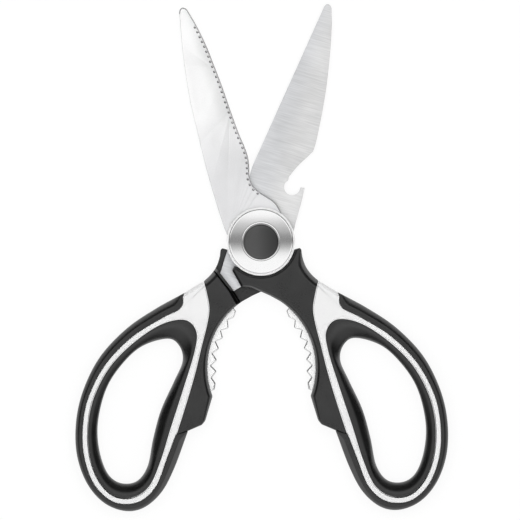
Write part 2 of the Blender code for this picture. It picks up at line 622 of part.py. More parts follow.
def pivot_pieces(root):
    """Bolt, nut, washer, cap and the two rings, all on the rear half."""
    steel, chrome, black = MATERIALS["steel"], MATERIALS["chrome"], MATERIALS["black"]
    front_ring = pivot_ring("front_pivot_ring", chrome)
    rear_ring = pivot_ring("rear_pivot_ring", chrome)
    rear_ring.rotation_euler = (0.0, math.pi, 0.0)

    bore = BOLT_RADIUS + BORE_PLAY
    socket = -REST_HEIGHT + NUT_FLOOR
    shank_end = socket + SEAM
    bolt = turned("pivot_bolt", [(0.0, shank_end), (BOLT_RADIUS, shank_end), (BOLT_RADIUS, HEAD_LOW),
                                 (BOLT_HEAD_RADIUS, HEAD_LOW), (BOLT_HEAD_RADIUS, HEAD_TOP),
                                 (0.0, HEAD_TOP)], steel)
    inside = BOLT_HEAD_RADIUS + SEAM
    cap = turned("pivot_cap", [(0.0, HEAD_TOP + SEAM), (inside, HEAD_TOP + SEAM), (inside, HEAD_LOW),
                               (CAP_RADIUS, HEAD_LOW), (CAP_RADIUS, CAP_TOP - PIVOT_BEVEL),
                               (CAP_RADIUS - PIVOT_BEVEL, CAP_TOP), (0.0, CAP_TOP)], black)
    washer_top = -WELL_FLOOR - SEAM
    washer_low = washer_top - WASHER_THICKNESS
    washer = turned("spring_washer", [(bore, washer_low), (CAP_RADIUS, washer_low),
                                      (CAP_RADIUS, washer_top), (bore, washer_top)], steel)
    nut = turned("pivot_nut", [(0.0, -REST_HEIGHT), (CAP_RADIUS - PIVOT_BEVEL, -REST_HEIGHT),
                               (CAP_RADIUS, -REST_HEIGHT + PIVOT_BEVEL), (CAP_RADIUS, -NUT_TOP),
                               (bore, -NUT_TOP), (bore, socket), (0.0, socket)], chrome)
    for side in (-1.0, 1.0):
        hole = (side * (bore + CAP_RADIUS) / 2, 0.0)
        apply_cut(nut, cylinder(NUT_HOLE_RADIUS, -CLEAR, -REST_HEIGHT + NUT_HOLE_DEPTH, hole, 16))
    for piece in (front_ring, rear_ring, bolt, cap, washer, nut):
        piece.parent = root


def build():
    """Makes every piece and sets the two halves open at the pivot."""
    for old in list(bpy.data.objects):
        bpy.data.objects.remove(old)
    MATERIALS.update({
        "steel": finish("satin_steel", (0.78, 0.79, 0.80), 0.32, 1.0),
        "brushed": finish("cross_brushed_steel", (0.62, 0.63, 0.65), 0.38, 1.0),
        "chrome": finish("polished_chrome", (0.86, 0.86, 0.87), 0.12, 1.0),
        "black": finish("black_plastic", (0.045, 0.045, 0.047), 0.42, 0.0),
        "soft": finish("soft_black_grip", (0.035, 0.035, 0.037), 0.55, 0.0),
        "white": finish("white_plastic", (0.86, 0.86, 0.86), 0.4, 0.0),
    })
    rear = half_empty("rear_half", -HALF_OPEN_DEG)
    front = half_empty("front_half", HALF_OPEN_DEG)

    outline, cutting, scallop = front_blade_outline()
    front_blade = ground_blade("front_blade", outline, cutting, scallop, MATERIALS["steel"])
    outline, cutting = rear_blade_outline()
    outline = (outline * (-1.0, 1.0))[::-1]
    rear_blade = ground_blade("rear_blade", outline, cutting[::-1], np.zeros(len(outline)),
                              MATERIALS["brushed"])
    rear_blade.rotation_euler = (0.0, math.pi, 0.0)
    front_blade.parent = front
    rear_blade.parent = rear

    plate = prism("rear_jaw_plate", jaw_outline(), -JAW_PLATE_HALF_HEIGHT, JAW_PLATE_HALF_HEIGHT,
                  MATERIALS["steel"])
    handle = [handle_body(MATERIALS["black"]), handle_core(MATERIALS["white"]),
              outer_grip(MATERIALS["soft"]), loop_lining(MATERIALS["soft"]), plate]
    for piece in handle:
        piece.parent = rear
        twin = bpy.data.objects.new(piece.name.replace("rear", "front"), piece.data)
        twin.rotation_euler = (0.0, math.pi, 0.0)
        twin.parent = front
        bpy.context.scene.collection.objects.link(twin)
    pivot_pieces(rear)


MATERIALS = {}
build()
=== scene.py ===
# %% [markdown]
# # The looks of a pair of fish scissors
# The scissors lie part open on a pale table, seen straight from above. Each half is a
# steel blade in a black plastic handle, with a white stripe, a soft grip and a toothed
# jaw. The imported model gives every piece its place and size. This script gives the pieces
# their mouldings, ground faces and finishes. Lengths are millimetres until a mesh is placed.

# %% The frame that everything rides on
import math

import bmesh
import bpy
import mathutils
import numpy as np
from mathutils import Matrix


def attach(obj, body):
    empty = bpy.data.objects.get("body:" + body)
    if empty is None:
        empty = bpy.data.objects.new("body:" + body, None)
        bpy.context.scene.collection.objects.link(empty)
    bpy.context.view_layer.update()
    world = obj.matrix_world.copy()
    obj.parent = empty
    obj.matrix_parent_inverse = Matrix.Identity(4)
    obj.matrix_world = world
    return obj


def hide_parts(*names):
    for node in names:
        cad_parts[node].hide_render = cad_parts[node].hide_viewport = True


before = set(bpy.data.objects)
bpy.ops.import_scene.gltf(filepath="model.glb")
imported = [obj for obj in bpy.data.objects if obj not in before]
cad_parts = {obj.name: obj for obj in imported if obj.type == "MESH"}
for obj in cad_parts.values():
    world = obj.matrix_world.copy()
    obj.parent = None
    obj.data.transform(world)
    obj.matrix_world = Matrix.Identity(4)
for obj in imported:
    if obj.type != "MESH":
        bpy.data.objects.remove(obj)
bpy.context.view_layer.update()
MM = 0.001

# %% [markdown]
# ## How the halves lie
# Both halves are drawn closed, with the middle line along Y and Z counted from the plane
# where the blades rub. The rear half turns a little clockwise about the pivot. The front
# half is drawn the same way, turned over about the middle line, and turned the other way.
# Doing this to the points, and not to the objects, keeps every object at the origin.

# %% From the closed drawing to the open scissors
HALF_OPEN_DEG = 17.4
REST_HEIGHT = 6.5             # the rubbing plane above the table


def turned_points(points, half, over=False):
    """Points of the closed drawing, in metres, as they lie in the open scissors.

    A piece drawn for the rear half is first turned over for the front: x and z change
    sign. Then each half is turned about the pivot by half of the opening, and lifted.
    """
    side = 1.0 if half == "front" else -1.0
    x, y, z = np.moveaxis(np.asarray(points, float), -1, 0)
    if over:
        x, z = -x, -z
    c, s = math.cos(math.radians(HALF_OPEN_DEG)), side * math.sin(math.radians(HALF_OPEN_DEG))
    return np.stack([c * x - s * y, s * x + c * y, z + REST_HEIGHT], axis=-1) * MM


print("a blade tip lies at", np.round(turned_points([-1.7, 98.5, 0.0], "rear") / MM, 1))

# %% [markdown]
# ## Curves through a few points
# A moulded edge is one smooth line through a few measured points. A Catmull-Rom curve
# passes through all of them. It is then spaced evenly, so that the faces of the mesh are
# even too, and softened a little, because no tool leaves a perfectly sharp corner.

# %% Smooth, evenly spaced outlines
GAP = 0.35                    # between the points of an outline
STEPS = 12                    # of a curve between two of its given points


def smooth_curve(points, steps=STEPS, closed=False):
    """Catmull-Rom curve: each span is a cubic whose slopes come from its neighbours."""
    points = np.array(points, float)
    if closed:
        ring = np.vstack([points[-1], points, points[0], points[1]])
    else:
        ring = np.vstack([2 * points[0] - points[1], points, 2 * points[-1] - points[-2]])
    t = np.linspace(0.0, 1.0, steps, endpoint=False)[None, :, None]
    a, b, c, d = (ring[i:len(ring) - 3 + i, None, :] for i in range(4))
    spans = 0.5 * (2 * b + (c - a) * t + (2 * a - 5 * b + 4 * c - d) * t ** 2
                   + (3 * b - a - 3 * c + d) * t ** 3)
    curve = spans.reshape(-1, points.shape[1])
    return curve if closed else np.vstack([curve, points[-1:]])


def lengths(points):
    """Distance walked along the points, measured in the plane."""
    steps = np.linalg.norm(np.diff(points[:, :2], axis=0), axis=1)
    return np.concatenate([[0.0], np.cumsum(steps)])


def spaced(points, gap=GAP, closed=False):
    """The same line with its points at even distances. Columns after x and y come along."""
    points = np.vstack([points, points[:1]]) if closed else np.asarray(points, float)
    walked = lengths(points)
    count = int(round(walked[-1] / gap)) + (not closed)
    wanted = np.linspace(0.0, walked[-1], count, endpoint=not closed)
    return np.stack([np.interp(wanted, walked, column) for column in points.T], axis=1)


def softened(loop, reach, gap=GAP):
    """A closed line blurred along itself: a Gaussian of the given reach, by its spectrum."""
    waves = np.fft.rfftfreq(len(loop), gap)[:, None]
    spectrum = np.fft.rfft(loop, axis=0) * np.exp(-2.0 * (np.pi * waves * reach) ** 2)
    return np.fft.irfft(spectrum, len(loop), axis=0)


def joined(parts, reach, gap=GAP):
    """Pieces of an outline made one closed line, evenly spaced and softened."""
    return softened(spaced(np.vstack(parts), gap, closed=True), reach, gap)


def polar(radius, *directions_deg):
    """Points at one distance from the pivot, in the given directions."""
    angles = np.radians(directions_deg)
    return radius * np.stack([np.cos(angles), np.sin(angles)], axis=1)


def arc(centre, radius, start_deg, end_deg, count):
    """Points on a circle, from one direction to the other."""
    return centre + polar(radius, *np.linspace(start_deg, end_deg, count))


def marked(points, width=0.0, share=0.0):
    """Adds two columns to points: how wide the edge's moulding is, and how much of it there is."""
    ones = np.ones(len(points))
    return np.column_stack([points, width * ones, share * ones])


# %% [markdown]
# ## A moulded solid
# Every flat piece here is an outline with a thickness, and what gives it away as moulded or
# ground is its edge: a small round, a sloping rebate, a ground face. So the top is a
# height field. Its height falls with the distance from the outline, by a profile that may
# differ along the edge. The mesh is made of loops that run inside the outline, each pushed
# in until it keeps its distance from every point of the outline, so that they never fold.

# %% Loops inside an outline, and the height over them
MERGE = 0.004                 # an edge shorter than this is folded away
TOUCH = 1e-3                  # a point this near to its distance is left where it is
LAST_LOOP = 0.06              # the last loop lies this far inside the moulding


def inward(loop):
    """Unit normals that point into a counter-clockwise outline."""
    ahead = np.roll(loop, -1, axis=0) - np.roll(loop, 1, axis=0)
    ahead /= np.maximum(np.linalg.norm(ahead, axis=1), 1e-9)[:, None]
    return np.stack([-ahead[:, 1], ahead[:, 0]], axis=1)


def pushed_in(loop, inset, rounds=44, settle=14):
    """Moves an outline inwards by a distance that may differ from point to point.

    Each point starts straight in from its own place. While it is nearer to some point of
    the outline than that point's distance, it is pushed straight away from it. Near such
    places the points also move halfway to the middle of their neighbours, which spreads
    them evenly, except in the last rounds.
    """
    points = loop + inward(loop) * inset[:, None]
    busy = np.arange(len(loop))
    for step in range(rounds):
        away = points[busy, None, :] - loop[None, :, :]
        gap = np.linalg.norm(away, axis=2)
        lack = inset[None, :] - gap
        row, worst = np.arange(len(busy)), lack.argmax(axis=1)
        shift = np.maximum(lack[row, worst], 0.0)
        if shift.max() < TOUCH:
            break
        points[busy] += away[row, worst] * (shift / np.maximum(gap[row, worst], 1e-6))[:, None]
        if step == 0:
            touched = np.zeros(len(loop), bool)
            touched[shift > TOUCH] = True
            spread = [np.roll(touched, by) for by in range(-4, 5)]
            busy = np.nonzero(np.any(spread, axis=0))[0]
        if step < rounds - settle:
            middle = (np.roll(points, 1, axis=0) + np.roll(points, -1, axis=0)) / 2
            points[busy] += (middle[busy] - points[busy]) / 2
    return points


def edge_drop(distance, outline, profile):
    """The drop that each point of the outline asks for, at a distance from that point.

    The profile has three columns, in parts of the moulding's width: the distance from the
    edge, the drop of the plain edge, and the drop of the full moulding. A point takes its
    share of each.
    """
    width, share = np.maximum(outline[:, 2], 1e-6), outline[:, 3]
    part = distance / width
    plain = np.interp(part, profile[:, 0], profile[:, 1])
    full = np.interp(part, profile[:, 0], profile[:, 2])
    return ((1.0 - share) * plain + share * full) * width


def drop_from_slopes(knots, slopes):
    """The drop at each knot: the tangent of the slope, summed from the level face outwards.

    slopes holds (knot, degrees) pairs. A round edge is a slope that grows towards the edge.
    """
    at, degrees = np.transpose(slopes)
    fine = np.linspace(0.0, 1.0, 401)
    steep = np.tan(np.radians(np.interp(fine, at, degrees)))
    steps = (steep[1:] + steep[:-1]) / 2 * np.diff(fine)
    outwards = np.append(np.cumsum(steps[::-1])[::-1], 0.0)
    return np.interp(knots, fine, outwards)


def moulded_rows(outline, profile):
    """Loops over one face of a piece, from its edge inwards, as (loops, points, x y drop).

    Loop k lies at the k-th distance of the profile, and one more lies just inside them.
    """
    edge = outline[:, :2]
    rows = []
    for at in [*profile[:, 0], 1.0 + 1e-9]:
        inset = outline[:, 2] * at + (LAST_LOOP if at > 1.0 else 0.0)
        points = pushed_in(edge, inset)
        reach = np.linalg.norm(points[:, None, :] - edge[None, :, :], axis=2)
        rows.append(np.column_stack([points, edge_drop(reach, outline, profile).max(axis=1)]))
    return np.array(rows)


# %% Meshes from loops
SMOOTH_DEG = 32.0             # an edge sharper than this isn't shaded smooth


def loop_mesh(name, rows, ring=False, smooth_deg=SMOOTH_DEG):
    """Skins loops of equal length, rows by points by xyz, and closes the two ends.

    A ring joins its last loop to its first.
    """
    loops, count = rows.shape[:2]
    corner = np.arange(loops * count).reshape(loops, count)
    low = corner if ring else corner[:-1]
    high = np.roll(corner, -1, axis=0) if ring else corner[1:]
    quads = np.stack([low, np.roll(low, -1, 1), np.roll(high, -1, 1), high], axis=-1).reshape(-1, 4)
    faces = quads.tolist()
    if not ring:
        faces += [corner[0][::-1].tolist(), corner[-1].tolist()]
    mesh = bpy.data.meshes.new(name)
    mesh.from_pydata(rows.reshape(-1, 3).tolist(), [], faces)
    return tidied(mesh, smooth_deg, fold_and_turn)


def tidied(mesh, smooth_deg, repair):
    """Repairs a mesh, then shades it smooth and marks the sharp edges."""
    bm = bmesh.new()
    bm.from_mesh(mesh)
    repair(bm)
    bm.to_mesh(mesh)
    bm.free()
    mesh.shade_smooth()
    mesh.set_sharp_from_angle(angle=math.radians(smooth_deg))
    return mesh


def fold_and_turn(bm):
    """Folds away edges of no length, and turns the faces outwards."""
    bmesh.ops.dissolve_degenerate(bm, edges=bm.edges, dist=MERGE)
    bmesh.ops.recalc_face_normals(bm, faces=bm.faces)


def fill_holes(bm):
    """Closes what a cut has left open."""
    bmesh.ops.holes_fill(bm, edges=bm.edges)


def moulded(name, outline, profile, face):
    """A piece with the same moulding on both faces: loops on top, and their mirror image below."""
    top = moulded_rows(outline, profile)
    top[:, :, 2] = face - top[:, :, 2]
    return loop_mesh(name, np.concatenate([top[::-1] * (1.0, 1.0, -1.0), top]))


def quarter_round(knots):
    """The drop of a quarter circle that starts at the edge and ends level, at the last knot."""
    return 1.0 - np.sqrt(1.0 - (1.0 - knots) ** 2)


def level(points, height):
    """Points in the plane, lifted to one height."""
    return np.column_stack([points[:, :2], np.full(len(points), height)])


def slab(outline, low, high):
    """A plain prism, used as a cutting tool."""
    return loop_mesh("tool", np.array([level(outline, low), level(outline, high)]))


def cut(mesh, tool, smooth_deg=SMOOTH_DEG):
    """Cuts one mesh with another, exactly, and returns the result with the tool removed."""
    piece = bpy.data.objects.new("work", mesh)
    cutter = bpy.data.objects.new("tool", tool)
    for item in (piece, cutter):
        bpy.context.scene.collection.objects.link(item)
    modifier = piece.modifiers.new("cut", "BOOLEAN")
    modifier.operation = "DIFFERENCE"
    modifier.solver = "EXACT"
    modifier.object = cutter
    bpy.context.view_layer.update()
    depsgraph = bpy.context.evaluated_depsgraph_get()
    result = bpy.data.meshes.new_from_object(piece.evaluated_get(depsgraph))
    for item in (piece, cutter):
        bpy.data.objects.remove(item)
    for old in (mesh, tool):
        bpy.data.meshes.remove(old)
    return tidied(result, smooth_deg, fill_holes)


# %% Putting a finished mesh in its place
def put_in(name, mesh, half, node, material, over=False):
    """Places a mesh of the closed drawing on its half, and hides the imported part it replaces."""
    mesh = mesh.copy()
    count = len(mesh.vertices)
    points = np.empty(count * 3)
    mesh.vertices.foreach_get("co", points)
    mesh.vertices.foreach_set("co", turned_points(points.reshape(-1, 3), half, over).ravel())
    mesh.materials.clear()
    mesh.materials.append(material)
    mesh.update()
    mesh.name = name
    piece = bpy.data.objects.new(name, mesh)
    bpy.context.scene.collection.objects.link(piece)
    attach(piece, f"{half}_half")
    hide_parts(node)
    mesh.calc_loop_triangles()
    low, high = np.array(piece.bound_box).min(0) / MM, np.array(piece.bound_box).max(0) / MM
    print(f"{name}: {len(mesh.loop_triangles)} triangles, z {low[2]:.2f} to {high[2]:.2f} mm")
    return piece


def put_in_both(name, mesh, node, material):
    """Places a piece in both halves: as drawn in the rear one, turned over in the front one."""
    for half in ("rear", "front"):
        put_in(f"{half}_{name}", mesh, half, f"{half}_{node}", material, half == "front")


# %% [markdown]
# ## Finishes
# Each finish is a Principled shader whose colour, gloss and fine relief come from noise on
# the object's own coordinates. Even plain moulded plastic is never one flat colour: its
# gloss wanders by a few percent, and a spark-eroded mould leaves a grain of about 0.1 mm.

# %% Nodes, and a finish from noise
TONE_RANGE = (0.36, 0.64)     # the noise at which the dark and the light tone are reached
GLOSS_RANGE = (0.35, 0.65)


def add_node(tree, kind, inputs=(), **settings):
    """Adds a shader node. Each input is linked to an output, or set to a value."""
    node = tree.nodes.new(f"ShaderNode{kind}")
    for name, value in settings.items():
        setattr(node, name, value)
    for socket, value in dict(inputs).items():
        if isinstance(value, bpy.types.NodeSocket):
            tree.links.new(value, node.inputs[socket])
        else:
            node.inputs[socket].default_value = value
    return node


def ranged(tree, value, from_min, from_max, to_min=0.0, to_max=1.0, kind="LINEAR"):
    """A value that goes from one number to another while its input passes a range."""
    inputs = {"Value": value, "From Min": from_min, "From Max": from_max, "To Min": to_min,
              "To Max": to_max}
    return add_node(tree, "MapRange", inputs, interpolation_type=kind).outputs["Result"]


def mixed(tree, factor, first, second, kind="FLOAT", blend="MIX"):
    """The first value or colour, and by the factor more of the second."""
    inputs = {"Factor": factor, "A": first, "B": second}
    return add_node(tree, "Mix", inputs, data_type=kind, blend_type=blend).outputs["Result"]


def shade(tree, vector, steps, colour):
    """Painted shade: white that turns to a colour, to multiply with, where each (axis, from, to) is
    passed.
    """
    split = add_node(tree, "SeparateXYZ", {0: vector})
    passed = 1.0
    for axis, start, end in steps:
        passed = ranged(tree, split.outputs[axis], start * MM, end * MM, 0.0, passed, "SMOOTHSTEP")
    return mixed(tree, passed, (1.0, 1.0, 1.0, 1.0), (*colour, 1.0), "RGBA")


def finish(name, dark, light, rough, scale, grain, relief, metal=0.0, stretch=(1.0, 1.0, 1.0),
           turn_deg=0.0, specular=0.5, painted_shades=(), cut_roughness=None):
    """A Principled material: colour and gloss follow one noise, the fine relief another.

    scale and grain are the sizes of the two noises, and relief is how high the fine one
    stands, in millimetres. rough is the range of the gloss. stretch makes the pattern
    longer one way, and turn_deg turns it to lie along a half.
    Each (steps, colour) pair in the shades is painted shade, and painted light where the colour
    passes 1.
    With cut_roughness, the mesh attribute "cut" turns the finish into bare metal that smooth.
    """
    material = bpy.data.materials.new(name)
    material.use_nodes = True
    tree = material.node_tree
    shader = tree.nodes["Principled BSDF"]
    shader.inputs["Metallic"].default_value = metal
    shader.inputs["Specular IOR Level"].default_value = specular
    place = {"Vector": add_node(tree, "TexCoord").outputs["Object"],
             "Rotation": (0.0, 0.0, math.radians(turn_deg))}
    where = add_node(tree, "Mapping", place).outputs["Vector"]
    pulled = add_node(tree, "Mapping", {"Vector": where, "Scale": stretch}).outputs["Vector"]

    def noise(size_mm, vector, layers):
        inputs = {"Vector": vector, "Scale": 1.0 / (size_mm * MM), "Detail": layers}
        return add_node(tree, "TexNoise", inputs).outputs["Fac"]

    fine = noise(grain, pulled, 4.0)
    both = mixed(tree, 0.5, noise(scale, where, 2.0), fine)
    colours = add_node(tree, "ValToRGB", {"Fac": both})
    for stop, at, tone in zip(colours.color_ramp.elements, TONE_RANGE, (dark, light)):
        stop.position = at
        stop.color = (*tone, 1.0)
    base = colours.outputs["Color"]
    # painted shade and painted light, multiplied into the colour along the object's axes
    for steps, tint in painted_shades:
        base = mixed(tree, 1.0, base, shade(tree, where, steps, tint), "RGBA", "MULTIPLY")
    tree.links.new(base, shader.inputs["Base Color"])
    roughness = ranged(tree, both, *GLOSS_RANGE, *rough)
    if cut_roughness:
        bare = add_node(tree, "Attribute", attribute_name="cut").outputs["Fac"]
        tree.links.new(ranged(tree, bare, 0.0, 1.0, metal), shader.inputs["Metallic"])
        roughness = mixed(tree, bare, roughness, cut_roughness)
    tree.links.new(roughness, shader.inputs["Roughness"])
    bump = add_node(tree, "Bump", {"Strength": 1.0, "Distance": relief * MM, "Height": fine})
    tree.links.new(bump.outputs["Normal"], shader.inputs["Normal"])
    return material


def grey(value):
    """A neutral colour written as it looks on screen, from 0 to 255, made linear."""
    share = value / 255.0
    return (share / 12.92 if share <= 0.04045 else ((share + 0.055) / 1.055) ** 2.4,) * 3


BLACK = finish("black_moulding", (0.003,) * 3, (0.008,) * 3, (0.26, 0.36), 9.0, 0.5, 0.02,
               specular=0.8)
SOFT = finish("soft_grip_rubber", (0.002,) * 3, (0.006,) * 3, (0.28, 0.38), 7.0, 0.5, 0.03,
              specular=0.8)
WHITE = finish("white_moulding", (0.83,) * 3, (0.87,) * 3, (0.38, 0.46), 8.0, 0.25, 0.005)
print("finishes:", [material.name for material in (BLACK, SOFT, WHITE)])

# %% [markdown]
# ## The black handle body
# The body is moulded in one piece. Its edge is a small round beside the white stripe and
# round the pivot. Where the hand and the nut press on it, the edge is a rebate instead: the
# face ends in a short steep slope, and a nearly level ledge runs on to the side. The ledge
# catches the light and the slope stays dark. Along the jaw the rebate is widest near the
# stop block, and under the block it shrinks to a narrow chamfer.

# %% Outline of the body, with the width of its moulding
BODY_FACE = 5.5               # heights of the faces above the middle plane
CORE_FACE = 5.9
LINING_FACE = 5.8
GRIP_FACE = 6.497
SEAM = 0.3                    # between pieces that touch
BLADE_PLAY = 0.3
HEEL_RADIUS = 13.4
SEAT_RADIUS = 13.75
JAW_RADIUS = 32.4
JAW_EDGE_RADIUS = 32.2        # the moulding hides the back of the toothed plate
JAW_CENTRE = (25.2, -45.0)
JAW_FOOT_Y, JAW_HEAD_Y = -64.9, -25.0

STRIPE_BODY = [(-17.2, -22.0), (-14.5, -26.4), (-11.9, -31.7), (-10.9, -37.7), (-10.4, -46.7),
               (-9.7, -58.0), (-9.5, -69.7), (-9.6, -83.9)]
FINGER_OUTER = [(-13.9, -11.2), (-14.1, -15.1), (-15.3, -18.7), (-17.2, -22.0)]
STOP_BLOCK = [(-9.6, -83.9), (-5.6, -80.9), (-0.9, -76.9), (-0.1, -74.9)]
ARCH = [(2.8, -22.0), (6.3, -18.9), (9.5, -16.3), (13.0, -15.0)]
FINGER_WIDTH = 3.0
JAW_WIDTH = (2.1, 1.5)        # at the stop block and at the arch
STOP_WIDTH = (0.2, 0.4, 0.6, 1.1)  # from the stripe, under the block, to its outer side
FLANK_WIDTH = 1.5             # the hook's side
BODY_ROUND = 0.35
SEAT_ROUND = 1.4
HOOK_ROUND = 1.1
FINGER_START, FINGER_GROWTH = 0.45, 0.42  # the rebate starts this wide, and widens on the way
SEAT_FROM_DEG, SEAT_TO_DEG = -32.3, -149.1  # the round wall that faces the ring
TIP = [(-153.6, 2.0), (-151.2, 2.7)]  # the finger's tip: degrees, and mm outside the wall
HOOK = [(-27.0, 2.5), (-25.1, 0.6)]
BODY_SOFTNESS = 0.28          # corners narrower than this are rounded

# distances from the edge in parts of the moulding's width, and the slopes of the big round
BODY_KNOTS = np.array([0.0, 0.03, 0.1, 0.2, 0.3, 0.4, 0.47, 0.53, 0.62, 0.72, 0.82, 0.9, 0.96, 1.0])
BIG_ROUND = [(0.0, 74.0), (0.1, 66.0), (0.4, 58.0), (0.48, 50.0), (0.56, 38.0), (0.78, 34.0),
             (0.9, 18.0), (1.0, 0.0)]
REBATE = drop_from_slopes(BODY_KNOTS, BIG_ROUND)
QUARTER = quarter_round(BODY_KNOTS)


def jaw_arc(count=90):
    """The jaw edge, from the stop block up to the arch."""
    foot, head = (180.0 + math.degrees(math.asin((JAW_CENTRE[1] - y) / JAW_RADIUS))
                  for y in (JAW_FOOT_Y, JAW_HEAD_Y))
    return arc(JAW_CENTRE, JAW_EDGE_RADIUS, foot, head, count)


def body_outline():
    """The body's outline, counter-clockwise, as x, y, width and share of the rebate."""
    tip, hook = (np.vstack([polar(SEAT_RADIUS + out, at) for at, out in corners])
                 for corners in (TIP, HOOK))
    jaw = jaw_arc()
    finger = smooth_curve(np.vstack([tip[1], FINGER_OUTER]))
    growing = np.minimum(FINGER_WIDTH, FINGER_START + FINGER_GROWTH * lengths(finger))
    return joined([
        marked(finger, growing, 1.0),
        marked(smooth_curve(STRIPE_BODY)[1:-1], BODY_ROUND),
        marked(np.array(STOP_BLOCK), STOP_WIDTH, 1.0),
        marked(jaw, np.linspace(*JAW_WIDTH, len(jaw)), 1.0),
        marked(smooth_curve(ARCH, 10)[1:], FLANK_WIDTH, 1.0),
        marked(hook, HOOK_ROUND, 1.0),
        marked(arc((0.0, 0.0), SEAT_RADIUS, SEAT_FROM_DEG, SEAT_TO_DEG, 90), SEAT_ROUND, 1.0),
        marked(tip[:1], BODY_ROUND),
    ], BODY_SOFTNESS)


def within_seam(outline):
    """The same outline with half a seam left, but not along the free, moulded edges."""
    outline[:, :2] = pushed_in(outline[:, :2], SEAM / 2 * (1.0 - outline[:, 3]))
    return outline


profile = np.column_stack([BODY_KNOTS, QUARTER, REBATE])
body = moulded("body", within_seam(body_outline()), profile, BODY_FACE)
print("body before its cuts:", len(body.vertices), "vertices")

# %% The cuts in the body: the crossing, the tang's pocket and the jaw's slot
FAR = 40.0                    # cutting tools reach this far past what they cut
STEP_WALL = np.array([(-26.0, -7.8), (-11.65, -17.0), (-5.2, -21.5), (-4.3, -22.2), (-0.3, -25.8),
                      (8.0, -33.2)])
RIB, RIB_DROP = 1.0, 0.7      # the rib beside the tang: its width, and its depth below the face
RIB_WIDTHS = np.array([RIB, RIB, 0.9, 0.0, -0.3, -0.3])  # it ends where the tang ends
GROOVE_FAR = np.array([1.75, 1.7, 1.75, 1.85, 2.0, 2.0])  # the far side of the groove behind it
# how open the groove is, in parts of its width, and the height at which it is so wide
GROOVE_SIDES = [(0.03, 0.6), (0.9, 3.0), (1.0, BODY_FACE - 0.2), (1.08, BODY_FACE), (1.08, FAR)]
TANG = [(-11.8, -17.5), (-11.3, -25.0), (-10.8, -29.6), (-9.9, -30.6), (-8.7, -30.1),
        (-7.6, -27.6), (-4.3, -21.9), (-2.4, -19.8), (0.3, -17.0)]
TANG_FROM_DEG, TANG_TO_DEG = 208.4, 293.0  # where it leaves the heel, and meets it again
SLOT_MOUTH = 5.0              # the jaw's slot opens this far in front of the jaw
TOOTH_MARGIN_DEG = 0.6        # the plate goes on beyond its end teeth
RING_BASE = 2.95
JAW_PLATE_DEPTH = 1.4
JAW_PLATE_HALF = 1.5
TOOTH_FIRST_DEG, TOOTH_LAST_DEG, TOOTH_COUNT = 154.4, 209.3, 7
TOOTH_PITCH_DEG = (TOOTH_LAST_DEG - TOOTH_FIRST_DEG) / (TOOTH_COUNT - 1)


def tang_outline():
    """The tang of the rear blade, from the round heel and back to it."""
    start, end = polar(HEEL_RADIUS, TANG_FROM_DEG, TANG_TO_DEG)
    return np.vstack([start, TANG, end])


def wall_line(shift):
    """The step's wall moved back into the body, by one distance or by one for each point."""
    across = np.array([0.6352, 0.7723])  # at right angles to the wall
    return STEP_WALL - across * np.broadcast_to(shift, len(STEP_WALL))[:, None]


def crossing(shift):
    """What is cut away in front of the wall, where the halves cross."""
    wall = wall_line(shift)
    return np.vstack([wall, [(FAR, wall[-1, 1]), (FAR, FAR), (-FAR, FAR), (-FAR, wall[0, 1])]])


def groove_tool():
    """A wedge for the groove behind the rib: each side closes to the middle at the floor."""
    near, far = wall_line(RIB_WIDTHS), wall_line(GROOVE_FAR)
    middle = (near + far) / 2
    rows = []
    for part, height in GROOVE_SIDES:
        sides = [middle + (near - middle) * part, (middle + (far - middle) * part)[::-1]]
        rows.append(level(np.vstack(sides), height))
    return loop_mesh("tool", np.array(rows))


def jaw_slot():
    """The slot for the jaw plate, a seam wider than the plate at its back and ends."""
    beyond = TOOTH_PITCH_DEG / 2 + TOOTH_MARGIN_DEG + math.degrees(SEAM / JAW_RADIUS)
    first, last = TOOTH_FIRST_DEG - beyond, TOOTH_LAST_DEG + beyond
    return np.vstack([arc(JAW_CENTRE, JAW_RADIUS + JAW_PLATE_DEPTH + SEAM, first, last, 60),
                      arc(JAW_CENTRE, JAW_RADIUS - SLOT_MOUTH, last, first, 60)])


body = cut(body, slab(crossing(0.0), -BLADE_PLAY / 2, FAR))
body = cut(body, slab(crossing(RIB), BODY_FACE - RIB_DROP, FAR))
body = cut(body, groove_tool())
pocket = spaced(np.vstack([tang_outline(), [(0.0, 0.0)]]), closed=True)
body = cut(body, slab(pocket - inward(pocket) * SEAM, -RING_BASE, 0.0))
slot_half = JAW_PLATE_HALF + SEAM
body = cut(body, slab(jaw_slot(), -slot_half, slot_half))
put_in_both("body_moulding", body, "handle_body", BLACK)

# %% [markdown]
# ## The white core
# A white ring stands between the black body and the soft grips, and shows as a stripe.
# Towards the pivot it widens into a shoulder, whose outer edge is bare and gently rounded.
# The hole through it is cut with a tool that flares at both ends, so that its edges are
# rounded as well.

